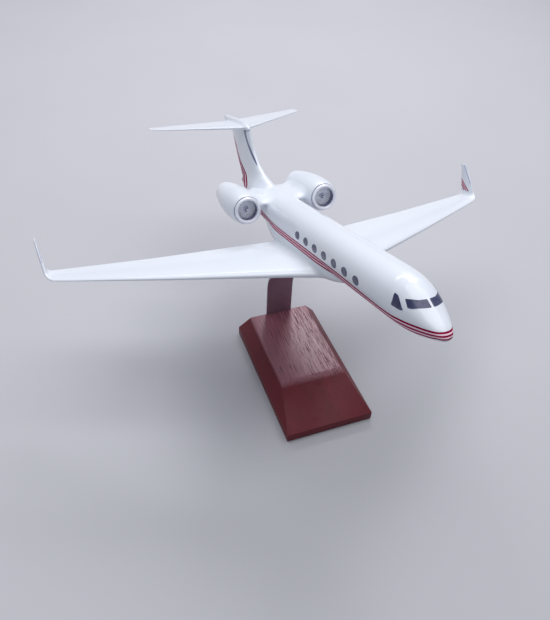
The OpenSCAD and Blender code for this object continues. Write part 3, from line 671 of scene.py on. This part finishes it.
# The winglets: cast in resin like the wings. Each tip is bent up in a tight curve
# and runs into a raked blade with a rounded top, held on by two small dowels.
TIP_OUT, TIP_HEIGHT, TIP_BEND, TIP_LEAN, TIP_RISE = 286.6, -34.35, 7.2, math.radians(83), 35.4
# Steps along the winglet: round the bend, up the blade, and over the rounded top
BEND_STEPS, ROUND_FROM, TIP_STEPS = 6, 11.66, 12
ROUND_STEPS = TIP_STEPS - ROUND_FROM
# Step, leading and trailing edge stations, thickness over chord, and rise of the trailing edge
TIP_EDGES = [(0, 370.5, 407.6, 0.1, 0.45), (6, 384, 413, 0.14, 0.3), (11, 405.2, 420, 0.19, 0.05),
             (12, 409.2, 421.4, 0.19, 0)]
TOP_EDGE, LEAST_CLOSING = 0.008, 0.02
# Height with the stations where the painted shade line on the winglet starts and ends
TIP_SHADE_LINE = [(-18, 391.4, 392), (-16.6, 392.6, 393.6), (-12, 396.2, 397.5), (-6.5, 400.8, 402.3),
             (0.2, 406.8, 408.3), (4.6, 411.4, 412.6)]
SHADE_LINE_VIOLET = (0.3, 0.3, 0.55, 1)


def winglet_rings(side):
    rings = []
    steps = [np.linspace(0, BEND_STEPS, 25), np.linspace(6.2, 11.6, 28),
             np.linspace(ROUND_FROM, TIP_STEPS, 9)]
    for k in np.concatenate(steps):
        bent = min(k, BEND_STEPS) / BEND_STEPS
        lean = TIP_LEAN * bent
        d = TIP_RISE * max(0, k - BEND_STEPS) / (TIP_STEPS - BEND_STEPS)
        y = TIP_OUT + TIP_BEND * math.sin(lean) + d * math.cos(TIP_LEAN)
        z = TIP_HEIGHT + TIP_BEND * (1 - math.cos(lean)) + d * math.sin(TIP_LEAN)
        le, te, thick, twist = straight(TIP_EDGES, k)
        unit = blade_section(thick, BLADE_EDGE + TOP_EDGE * bent)
        closing = math.sqrt(max(LEAST_CLOSING, 1 - max(0, (k - ROUND_FROM) / ROUND_STEPS) ** 2))
        chord = te - le
        h = unit[:, 1] * chord * closing
        rings.append(np.stack([le + chord * unit[:, 0], side * (y - h * math.sin(lean)),
                               z + twist * unit[:, 0] + h * math.cos(lean)], -1))
    return in_room(rings)


winglet_white = white_paint("gloss_white_winglet", "winglet_lines", slate="tip_slate",
                            slate_from=TIP_SHADE_LINE[0][0], slate_colour=SHADE_LINE_VIOLET)
winglets = both_sides("winglet_skin", "winglet", winglet_rings, winglet_white)
dress(nodes["winglet_dowels"], pin_steel)

# The fin: a swept resin blade, glued on and filled before painting. Its leading
# edge sweeps forward in a long curve into the spine of the fuselage.

# Height, leading and trailing edge stations and half thickness, in mm
FIN = [(10, 396, 531.5, 9.5), (22, 404, 539.5, 8), (28, 414, 542.9, 7.2), (34, 431, 546.3, 6.4),
       (43, 449, 551, 5.8), (52, 459, 555.2, 5.6), (62, 466.5, 559.6, 5.4), (74, 472.5, 564.6, 5.1),
       (84.5, 477, 570, 4.8)]
# Height with the stations where the painted shade line behind the leading edge starts and ends
FIN_SHADE_LINE = [(43, 450.4, 451), (47.7, 455.3, 458.8), (52.4, 460, 465), (57.3, 465, 470.8),
             (62.2, 469.5, 475.6), (67.3, 474, 480.2), (72.3, 478, 484.4), (77.3, 481, 488),
             (82.5, 483, 491.2), (90, 485, 495)]
FIN_PORT_SHIFT = 3.0
SHADE_LINE_BLUE = (0.15, 0.155, 0.29, 1)


def fin_rings(levels):
    rings = []
    for z in levels:
        le, te, half = smooth(FIN, z)
        unit = blade_section(1, 0, 56)
        stations = le + (te - le) * unit[:, 0]
        rings.append(np.stack([stations, 2 * half * unit[:, 1], np.full(len(unit), z)], -1))
    return in_room(rings)


fin_levels = np.concatenate([np.arange(10, 28, 0.2), np.arange(28, 46, 0.6), np.arange(46, 79, 1.2),
                             np.arange(79, 84.5, 0.3), [84.5]])
fin = skin("fin_skin", fin_rings(fin_levels), BLADE_CREASE)
fin_white = white_paint("gloss_white_fin", "chevron", slate="fin_slate", slate_from=FIN_SHADE_LINE[0][0],
                        slate_colour=SHADE_LINE_BLUE)
dress(fin, fin_white, "aircraft", "fin")

# The bullet on top of the fin: a long resin drop that the tailplane runs through,
# blunt at the front and drawn out to a point behind.
TAIL_HEIGHT = 88.6
# Station, half height, half width and rise of the middle, in mm
BULLET = [(479, 0.5, 0.5, -1.4), (482, 2.7, 2.7, -1.1), (488, 4.6, 4.4, -0.6), (502, 6.3, 5.5, 0.3),
          (530, 6.7, 5.8, 0.6), (560, 6.2, 5.2, 1.1), (584, 4.6, 3.6, 2.4), (596, 2.8, 2.1, 3.4),
          (600, 0.8, 0.7, 3.9)]


def bullet_rings(stations):
    high, wide, up = columns(BULLET, stations)[..., None]
    angle = np.linspace(0, 2 * np.pi, 72, endpoint=False)
    y, z = wide * np.cos(angle), TAIL_HEIGHT + up + high * np.sin(angle)
    return in_room(np.stack([np.broadcast_to(stations[:, None], y.shape), y, z], -1))


bullet_stations = np.concatenate([479 + 9 * np.linspace(0, 1, 14) ** 1.8, np.linspace(489, 584, 96),
                                  np.linspace(585, 600, 20)])
bullet = skin("bullet_skin", bullet_rings(bullet_stations))
dress(bullet, plain_white, "aircraft", "tail_bullet")

# The tailplane: two thin swept resin blades with rounded tips, pinned to each
# other through the bullet.
TAIL_ROOT, TAIL_FORE, TAIL_AFT = 2.4, 484, 571.9
TAIL_SWEEP, TAIL_TAPER, TAIL_DROOP = 0.927, 0.4, 0.011
TAIL_THICK, TAIL_EDGE = 0.075, 0.014
# Distance out, mm cut off the leading and the trailing edge, and share of the thickness left
TAIL_TIPS = [(2.4, 0, 0, 1), (70, 0, 0, 1), (108, 0, 0, 1), (111, 1, 0.2, 0.96), (113.4, 3.3, 1, 0.74),
             (115.3, 6, 2.5, 0.32)]


def tailplane_rings(side):
    rings = []
    for y in np.concatenate([np.arange(2.4, 9, 0.2), np.arange(9.6, 16, 0.8), np.arange(17, 107, 3.0),
                             np.linspace(108, 115.3, 20)]):
        fore, aft, thin = smooth(TAIL_TIPS, y)
        le = TAIL_FORE + TAIL_SWEEP * (y - TAIL_ROOT) + fore
        te = TAIL_AFT + TAIL_TAPER * (y - TAIL_ROOT) - aft
        unit = blade_section(TAIL_THICK * thin, TAIL_EDGE)
        rings.append(blade_ring(unit, le, te - le, side * y, TAIL_HEIGHT - TAIL_DROOP * y))
    return in_room(rings)


tailplanes = both_sides("tailplane_skin", "tailplane", tailplane_rings, plain_white)
dress(nodes["tailplane_dowels"], pin_steel)

# The pylons: short resin planks with a rounded nose, glued on, that carry the
# engines off the rear of the fuselage.
PYLON_FORE, PYLON_CHORD, PYLON_HEIGHT = 362, 80, 14.8
PYLON_THICK, PYLON_EDGE = 0.132, 0.02


def pylon_rings(side):
    unit = blade_section(PYLON_THICK, PYLON_EDGE, 60)
    outs = np.concatenate([np.arange(9, 21, 0.2), np.arange(21, 27, 0.5), np.arange(27, 36.1, 0.2)])
    return in_room([blade_ring(unit, PYLON_FORE, PYLON_CHORD, side * y, PYLON_HEIGHT) for y in outs])


pylons = both_sides("pylon_skin", "pylon", pylon_rings, plain_white)

# The nacelles: turned resin barrels, fattest a third of the way back, with the
# intake bored in the front and a shallow recess behind.
ENGINE_STATION, ENGINE_OUT, ENGINE_HEIGHT, ENGINE_RISE = 346.5, 50, 14, math.radians(1)
# Depth behind the lip and radius, in mm, of the outside, of the bored front and of the recess behind
SHELL = [(4.4, 16.95), (8, 18.1), (14, 19.1), (20, 19.7), (28, 20.15), (35.4, 20.3), (45, 20.15),
         (55, 19.6), (65, 18.8), (74.5, 17.8), (82, 16.8), (90, 15.6), (96, 14.7), (98.6, 14.25),
         (99.3, 13.9)]
FRONT = [(11.5, 0.02), (11.5, 6), (11.5, 11.9), (11.3, 12), (9, 12), (6, 12), (3.2, 12), (3, 12.1),
         (3, 15.1), (3.1, 15.3), (4, 15.3), (4.15, 15.45), (4.22, 16.6), (4.4, 16.95)]
RECESS = [(98.9, 14.15), (99.2, 14.0), (99.3, 13.7), (99.3, 12.3), (99.2, 12.05), (98.9, 11.95), (92, 11.6),
          (85, 11.25), (84.3, 11), (84, 10.6), (84, 5), (84, 0.02)]
ENGINE_FACETS = 128
# Radii in mm round the engine's axis, and depths behind its lip, of the dark bore and of the painted shade
# in the groove
BORE_RADIUS, BORE_DEPTH = 12.6, 14
GROOVE_SHADE_RADII, GROOVE_SHADE_DEPTH = (14.9, 16.98), 9
# The groove's count gives it painted shade, part way to the duct grey
BORE_COUNT, GROOVE_SHADE_COUNT, BARE_COUNT = 0.5, 0.11, -0.5
DUCT_GREY_AND_GROOVE_SHADE = (0.14, 0.15, 0.26, 1)


def on_engine(side, depth, across, up):
    """Places on an engine, by depth behind the lip and by distances across and up from its axis."""
    station = ENGINE_STATION + depth * math.cos(ENGINE_RISE) - up * math.sin(ENGINE_RISE)
    height = ENGINE_HEIGHT + up * math.cos(ENGINE_RISE) + depth * math.sin(ENGINE_RISE)
    return in_room(np.stack([station, side * (ENGINE_OUT + across), height], -1))


def turned(side, profile, facets=ENGINE_FACETS):
    """Rings of a piece turned about the engine's axis from pairs of depth and radius."""
    angle = np.linspace(0, 2 * np.pi, facets, endpoint=False)
    depth, radius = np.asarray(profile, float).T[..., None]
    across, up = radius * np.cos(angle), radius * np.sin(angle)
    return on_engine(side, np.broadcast_to(depth, across.shape), across, up)


def nacelle_rings(side):
    depths = np.concatenate([np.linspace(4.4, 8, 8)[1:], np.arange(9, 99, 1.0)])
    outside = [(d, float(smooth(SHELL, d)[0])) for d in depths]
    return turned(side, FRONT + outside + RECESS)


def in_duct(at):
    """The count that paints the bore of the intake dark, and paints shade into the groove behind its lip,
    not quite as dark.
    """
    out = np.hypot(np.abs(at[:, 1]) - ENGINE_OUT, at[:, 2] - ENGINE_HEIGHT)
    bore = (out < BORE_RADIUS) & (at[:, 0] < ENGINE_STATION + BORE_DEPTH)
    inner, outer = GROOVE_SHADE_RADII
    groove_shade = (out > inner) & (out < outer) & (at[:, 0] < ENGINE_STATION + GROOVE_SHADE_DEPTH)
    return np.where(bore, BORE_COUNT, np.where(groove_shade, GROOVE_SHADE_COUNT, BARE_COUNT))


def mark(piece, **bands):
    """Writes each band's count on the piece's vertices."""
    mesh = piece.data
    where = np.zeros(len(mesh.vertices) * 3)
    mesh.vertices.foreach_get("co", where)
    at = on_aircraft(where.reshape(-1, 3))
    for name, band in bands.items():
        counts = mesh.attributes.new(name, "FLOAT", "POINT")
        counts.data.foreach_set("value", band(at).astype(np.float32))


nacelle_white = white_paint("gloss_white_nacelle", slate="duct", slate_colour=DUCT_GREY_AND_GROOVE_SHADE)
nacelles = both_sides("nacelle_skin", "nacelle", nacelle_rings, nacelle_white, sharp=40)
for nacelle in nacelles.values():
    mark(nacelle, duct=in_duct)

# The filler: before painting, every root is filled with putty and rubbed to a
# soft fillet, so each blade's foot spreads out over the piece that it stands on.

# In metres: how far a feather edge dips under the skin, and how deep a foot may lie and still be moved
FEATHER_DIP, BURIED_DEPTH = 0.00007, 0.0015
LEAST_SLANT = 0.02


def surface(piece):
    mesh = piece.data
    return BVHTree.FromPolygons([v.co for v in mesh.vertices], [p.vertices for p in mesh.polygons])


def fill_root(piece, other, *reaches):
    """Spreads a piece's foot over another's skin; the reaches are stations and fillet sizes in mm."""
    mesh = piece.data
    n = len(mesh.vertices)
    where = np.zeros(n * 3)
    mesh.vertices.foreach_get("co", where)
    where = where.reshape(-1, 3)
    out = np.zeros(n * 3, np.float32)
    mesh.vertex_normals.foreach_get("vector", out)
    out = out.reshape(-1, 3)
    stations = on_aircraft(where)[:, 0]
    size = np.interp(stations, *np.array(reaches, float).T) * MM
    for k in range(n):
        p = Vector(where[k])
        at, facing, _, gap = other.find_nearest(p, size[k])
        if at is None:
            continue
        if (p - at).dot(facing) < 0:
            if gap > BURIED_DEPTH:
                continue
            gap = -gap
        away = Vector(out[k])
        away -= facing * away.dot(facing)
        if away.length < LEAST_SLANT:
            continue
        spread = (math.sqrt(size[k]) - math.sqrt(max(0, gap))) ** 2
        moved = p + away.normalized() * spread * min(1, away.length * 2)
        at, facing, _, height = other.find_nearest(moved)
        height = math.copysign(height, (moved - at).dot(facing))
        where[k] = moved + facing * (gap - FEATHER_DIP - height)
    mesh.vertices.foreach_set("co", where.ravel())
    mesh.update()
    mesh.set_sharp_from_angle(angle=math.radians(BLADE_CREASE))


body_skin, fairing_surface, bullet_surface = surface(fuselage), surface(fairing), surface(bullet)
fill_root(fin, body_skin, (396, 2), (410, 8), (435, 13), (470, 12), (500, 6), (530, 2))
fill_root(fin, bullet_surface, (480, 2.5), (560, 2.5))
for name, _ in SIDES:
    fill_root(wings[name], fairing_surface, (200, 4), (340, 4))
    fill_root(tailplanes[name], bullet_surface, (484, 3), (575, 3))
    fill_root(pylons[name], body_skin, (362, 7), (442, 7))
    fill_root(pylons[name], surface(nacelles[name]), (362, 9), (442, 9))

# The stripes: three fine dark-red lines, cut as transfers. They run along each
# side from round the nose, and three more edge the fin and cross the winglets.
# A slate line of painted shade stands beside them on the fin and on each winglet, behind the leading edge.

# Station, height of the band's top edge and width of one line, in mm
CHEATLINE = [(0, -7.2, 1.15), (3, -6.9, 1.15), (10, -6.7, 1.5), (20, -6.7, 1.75), (30, -6.9, 1.95),
             (43, -7.2, 2.05), (54, -7.5, 2.1), (80, -7.2, 2.1), (110, -6.3, 2.08), (140, -5.3, 2.02),
             (170, -4.8, 1.85), (200, -4.7, 1.55), (240, -4.6, 1.33), (280, -4.6, 1.27), (315, -4.5, 1.26),
             (340, -3.2, 1.33), (361, -0.8, 1.43), (382, 1.6, 1.5), (420, 2.8, 1.35), (465, 5.4, 1.1),
             (505, 9.2, 0.8), (530, 10.6, 0.4), (538, 10, 0.3)]
# Forward edge of the band on the fin, as stations and heights, from the top down to the turn and back
CHEVRON = [(577, 84), (565, 72), (546.5, 58.3), (541.6, 47.2), (528, 35.9), (510.7, 29.6), (494, 23.3),
           (480.2, 18.8), (471.5, 15.2), (470.6, 12), (476, 6), (500, -8)]
# Heights on the fin and the width of one line there
CHEVRON_LINE = ((30, 45, 60), (4.2, 3.4, 2.4))
# Upper and lower end of the band's edge on the winglet, as stations and heights
WINGLET_EDGE = ((411.8, -15.1), (395.2, -25.1))
WINGLET_LINE, WINGLET_FOOT = 1.5, -27


def cheatline(at):
    """Line widths down from the top edge of the band along the side."""
    top, line = columns(CHEATLINE, at[:, 0])
    return (top - at[:, 2]) / line


def chevron(at):
    """Line widths in from the edge of the band on the fin, less than nought from the side's band down."""
    path = np.array(CHEVRON, float)
    p = at[:, [0, 2]]
    best, sign = np.full(len(p), 1e9), np.ones(len(p))
    for a, b in zip(path[:-1], path[1:]):
        run = b - a
        t = np.clip(((p - a) @ run) / (run @ run), 0, 1)
        off = p - (a + t[:, None] * run)
        gap = np.linalg.norm(off, axis=1)
        turn = np.sign(run[0] * off[:, 1] - run[1] * off[:, 0])
        sign = np.where(gap < best - 1e-9, turn, sign)
        best = np.minimum(best, gap)
    above = cheatline(at) < 0
    return np.where(above, best * sign / np.interp(at[:, 2], *CHEVRON_LINE), -2)


def winglet_lines(at):
    """Line widths in from the edge of the band that crosses the winglet."""
    a, b = np.array(WINGLET_EDGE, float)
    run = (b - a) / np.linalg.norm(b - a)
    count = (run[0] * (at[:, 2] - a[1]) - run[1] * (at[:, 0] - a[0])) / WINGLET_LINE
    return np.where(at[:, 2] > WINGLET_FOOT, count, -1)


def shade_line_band(table, port_shift=0.0):
    """A band of painted shade that runs from nought at the line's front edge to one at its back edge."""
    def share(at):
        start, end = columns(table, at[:, 2])
        return (at[:, 0] - start - port_shift * (at[:, 1] > 0)) / (end - start)
    return share


def level(at):
    """Height on the aircraft."""
    return at[:, 2]


for piece in (fuselage, fairing):
    mark(piece, cheatline=cheatline, chevron=chevron)
mark(fin, chevron=chevron, fin_slate=shade_line_band(FIN_SHADE_LINE, FIN_PORT_SHIFT), level=level)
for winglet in winglets.values():
    mark(winglet, winglet_lines=winglet_lines, tip_slate=shade_line_band(TIP_SHADE_LINE), level=level)

# The intake lips: turned rings, rounded in section and sprayed a brighter white,
# pushed on the front of each nacelle with a fine shadow groove behind them.
LIP = [(3, 12.02), (2.4, 12.06), (1.9, 12.15), (1.3, 12.35), (0.9, 12.6), (0.5, 12.95), (0.25, 13.3),
       (0.07, 13.7), (0, 14.1), (0.09, 14.5), (0.3, 14.9), (0.62, 15.28), (1, 15.6), (1.5, 15.88),
       (2, 16.1), (2.55, 16.24), (2.9, 16.26), (3, 16.1), (3, 15.6), (3, 14), (3, 12.4)]
LIP_DEEP, LIP_CLEAR = (0.80, 0.83, 0.92, 1), (0.88, 0.9, 0.96, 1)
lip_white = Finish("lip_white", Roughness=0.3, Coat_Weight=1.0, Coat_Roughness=0.04, IOR=1.5)
lip_cloud = lip_white.noise(60, 3, 0.5)
lip_white.use(lip_white.blend(lip_cloud, LIP_DEEP, LIP_CLEAR), "Base Color")
lip_white.use(lip_white.between(lip_cloud, 0.2, 0.32), "Roughness")
lip_white.relief(lip_white.noise(600, 2, 0.5), RIPPLE_DEPTH)


def lip_rings(side):
    return turned(side, LIP + [LIP[0]])


both_sides("lip_ring", "intake_lip", lip_rings, lip_white, sharp=50, closed_ends=False)

# The fans: a moulded grey disc in each intake, with twenty-two low curved
# vanes round a hub, sprayed in satin grey. The disc's colour is set near white:
# painted light for the light that the deep intake keeps off it.

# In mm: the disc's back behind the lip's front, its thickness and size, and the hub and vanes on it
FAN_BACK, FAN_THICK, FAN_RADIUS = 11.5, 1.0, 11.8
HUB_RADIUS, HUB_STEP = 3.5, 0.5
VANE_HEIGHT, VANE_ROOT, VANE_TIP = 0.45, 3.6, 11.5

# The sweep is counted in vanes, from the middle of the disc to its rim
FAN_FACETS, VANES, VANE_SWEEP = 264, 22, 0.9
# Near-white colours: painted light making up for the shade inside the intake
FAN_DEEP_PAINTED_LIGHT, FAN_PALE_PAINTED_LIGHT = (0.90, 0.93, 1.0, 1), (0.96, 0.98, 1.0, 1)

# In metres: how deep dust and soot show in the relief
DUST_DEPTH = 0.00003
fan_grey = Finish("fan_grey", Metallic=0.2, Coat_Weight=0.15, Coat_Roughness=0.3)
fan_dust = fan_grey.noise(420, 4, 0.6)
fan_grey.use(fan_grey.blend(fan_grey.between(fan_dust), FAN_DEEP_PAINTED_LIGHT, FAN_PALE_PAINTED_LIGHT), "Base Color")
fan_grey.use(fan_grey.between(fan_dust, 0.38, 0.55), "Roughness")
fan_grey.relief(fan_dust, DUST_DEPTH)


def vane_height(radius, angle):
    """How far the vanes stand forward of the disc's face, in mm, at a place on the disc."""
    swept = angle * VANES / (2 * np.pi) + VANE_SWEEP * (radius / FAN_RADIUS) ** 1.4
    wave = 0.5 + 0.5 * np.cos(2 * np.pi * swept)
    fade = np.clip((radius - VANE_ROOT) / 1.2, 0, 1) * np.clip((VANE_TIP - radius) / 0.6, 0, 1)
    return VANE_HEIGHT * fade * wave ** 1.5


def fan_rings(side):
    angle = np.linspace(0, 2 * np.pi, FAN_FACETS, endpoint=False)
    radii = np.concatenate([np.linspace(0.05, 3.3, 4), np.linspace(VANE_ROOT, VANE_TIP, 30),
                            [11.65, FAN_RADIUS]])
    out, round_axis = np.meshgrid(radii, angle, indexing="ij")
    depth = FAN_BACK - FAN_THICK - vane_height(out, round_axis) - np.where(out < HUB_RADIUS, HUB_STEP, 0)
    out = np.concatenate([out, out[-1:]])
    depth = np.concatenate([depth, np.full((1, FAN_FACETS), FAN_BACK)])
    return on_engine(side, depth, out * np.cos(angle), out * np.sin(angle))


both_sides("fan_disc", "fan", fan_rings, fan_grey, sharp=50)

# The spinners: small turned domes glued on the fans, pale grey round the foot,
# with painted shade darkening them towards the point and a painted highlight dot set a little to port.
SPINNER = [(9.9, 3.3), (9.6, 3.28), (9.2, 3.2), (8.8, 3.03), (8.4, 2.8), (8, 2.52), (7.6, 2.2),
           (7.25, 1.83), (6.95, 1.4), (6.7, 0.98), (6.55, 0.6), (6.5, 0.3), (6.48, 0.03)]
SPINNER_PALE, SPINNER_SHADE = (0.80, 0.82, 0.98, 1), (0.10, 0.105, 0.17, 1)
SPINNER_HIGHLIGHT = (0.95, 0.96, 1.0, 1)
# Radii in metres over which the painted highlight dot and the painted shade of the middle fade out, and how
# far the dot sits to port
HIGHLIGHT_FADE, SHADE_FADE, HIGHLIGHT_OFFSET = (0.0009, 0.0014), (0.0019, 0.0024), 0.0006


def from_axis(finish, across, up):
    """Distance from the point where both are nought."""
    squares = finish.plus(finish.number("POWER", across, 2), finish.number("POWER", up, 2))
    return finish.number("SQRT", squares)


for name, side in SIDES:
    spinner_grey = Finish(f"spinner_grey_{name}", Roughness=0.3, Coat_Weight=0.6, Coat_Roughness=0.1)
    offset = spinner_grey.add("ShaderNodeVectorMath", operation="SUBTRACT")
    spinner_grey.join(spinner_grey.place, offset.inputs[0])
    offset.inputs[1].default_value = Vector(turned(side, [(0, 0)], 3)[0][0])
    levelled = spinner_grey.add("ShaderNodeVectorRotate", rotation_type="Y_AXIS")
    levelled.inputs["Angle"].default_value = PITCH + ENGINE_RISE
    spinner_grey.join(offset.outputs[0], levelled.inputs["Vector"])
    spot = spinner_grey.split(levelled.outputs[0])
    out = from_axis(spinner_grey, spot["Y"], spot["Z"])
    off_highlight = from_axis(spinner_grey, spinner_grey.number("SUBTRACT", spot["Y"], HIGHLIGHT_OFFSET), spot["Z"])
    # The dark middle is painted shade and the pale dot a painted highlight
    middle = spinner_grey.spread(out, *SHADE_FADE, 1, 0)
    tone = spinner_grey.blend(middle, SPINNER_PALE, SPINNER_SHADE)
    dot = spinner_grey.spread(off_highlight, *HIGHLIGHT_FADE, 1, 0)
    spinner_grey.use(spinner_grey.blend(dot, tone, SPINNER_HIGHLIGHT), "Base Color")
    spinner_grey.use(spinner_grey.spread(out, 0, 0.003, 0.2, 0.4), "Roughness")
    spinner = skin(f"{name}_spinner_dome", turned(side, SPINNER, 64), sharp=50)
    dress(spinner, spinner_grey, "aircraft", f"{name}_spinner")

# The exhausts: turned cones in sooty grey metal paint, glued in the recess at the
# back of each nacelle.
EXHAUST = [(84, 0.02), (84, 6.5), (85.5, 6.4), (87, 6.2), (89, 5.68), (91, 5), (93, 4.15), (95, 3.2),
           (96.4, 2.3), (97.2, 1.7), (97.7, 1.15), (97.92, 0.6), (98, 0.03)]
SOOT_DARK, SOOT_PALE = (0.16, 0.155, 0.16, 1), (0.3, 0.29, 0.3, 1)
exhaust_grey = Finish("exhaust_grey", Metallic=0.6)
soot = exhaust_grey.noise(300, 4, 0.6)
sooty = exhaust_grey.between(soot)
exhaust_grey.use(exhaust_grey.blend(sooty, SOOT_DARK, SOOT_PALE), "Base Color")
exhaust_grey.use(exhaust_grey.between(soot, 0.34, 0.5), "Roughness")
exhaust_grey.relief(soot, DUST_DEPTH)


def exhaust_rings(side):
    return turned(side, EXHAUST, 72)


both_sides("exhaust_cone", "exhaust", exhaust_rings, exhaust_grey, sharp=50)

# The studio: a plain pale floor under the block, a soft overhead lamp, a long
# narrow window of light and a squarer lamp behind the tail, and even light from
# all round.
FLOOR_HALF = 6
FLOOR_DARK, FLOOR_PALE = (0.50, 0.51, 0.54, 1), (0.54, 0.55, 0.58, 1)
SKY_COLOUR, SKY_STRENGTH = (0.87, 0.88, 1.0, 1), 0.31
corners = [(x * FLOOR_HALF, y * FLOOR_HALF, 0) for x, y in ((-1, -1), (1, -1), (1, 1), (-1, 1))]
floor_mesh = bpy.data.meshes.new("floor")
floor_mesh.from_pydata(corners, [], [(0, 1, 2, 3)])
floor = placed("floor", floor_mesh)
pale = Finish("pale_floor", Roughness=0.85)
pale.use(pale.blend(pale.noise(3, 2, 0.5), FLOOR_DARK, FLOOR_PALE), "Base Color")
floor_mesh.materials.append(pale.material)

world = bpy.data.worlds.new("studio")
bpy.context.scene.world = world
world.use_nodes = True
sky = world.node_tree.nodes["Background"]
sky.inputs["Color"].default_value = SKY_COLOUR
sky.inputs["Strength"].default_value = SKY_STRENGTH


def lamp(name, where, towards, width, height, watts, colour):
    """A soft rectangular lamp that faces a point."""
    light = bpy.data.lights.new(name, "AREA")
    light.shape = "RECTANGLE"
    light.size = width
    light.size_y = height
    light.energy = watts
    light.color = colour
    lit = placed(name, light)
    lit.location = where
    lit.rotation_euler = (Vector(towards) - Vector(where)).to_track_quat("-Z", "Y").to_euler()


lamp("overhead", (-0.3, 0.1, 2.2), towards=(0, 0, 0.15), width=2.6, height=1.7, watts=35,
     colour=(1.0, 0.995, 1.0))
lamp("window_behind", (-2.2, 0.45, 1.75), towards=(0, 0, 0.2), width=2.6, height=0.12, watts=10,
     colour=(0.97, 0.98, 1.0))
lamp("sheen_behind", (-2.0, 0.95, 2.15), towards=(0, 0, 0.1), width=1.0, height=0.9, watts=25,
     colour=(1.0, 0.96, 1.0))

# The camera: it stands ahead of the starboard wing and above it, as in the
# photograph, and is rolled a little.
AZIMUTH, ELEVATION, ROLL = math.radians(68.11), math.radians(43.45), math.radians(2.85)
DISTANCE, AIM = 0.87769, Vector((-0.07061, -0.01434, 0.06))
LENS, SENSOR = 41.80, 36
level_run = math.cos(ELEVATION)
back = Vector((math.sin(AZIMUTH) * level_run, -math.cos(AZIMUTH) * level_run, math.sin(ELEVATION)))
across = (-back).cross(Vector((0, 0, 1))).normalized()
upward = across.cross(-back)
right = across * math.cos(ROLL) + upward * math.sin(ROLL)
up = -across * math.sin(ROLL) + upward * math.cos(ROLL)
camera_data = bpy.data.cameras.new("camera")
camera_data.sensor_fit = "HORIZONTAL"
camera_data.sensor_width = SENSOR
camera_data.lens = LENS
camera_data.clip_start = 0.01
camera_data.clip_end = 50
camera = placed("camera", camera_data)
camera.matrix_world = Matrix((
    (right.x, up.x, back.x, 0), (right.y, up.y, back.y, 0), (right.z, up.z, back.z, 0), (0, 0, 0, 1)))
camera.location = AIM + back * DISTANCE
bpy.context.scene.camera = camera
bpy.context.scene.view_settings.view_transform = "Standard"
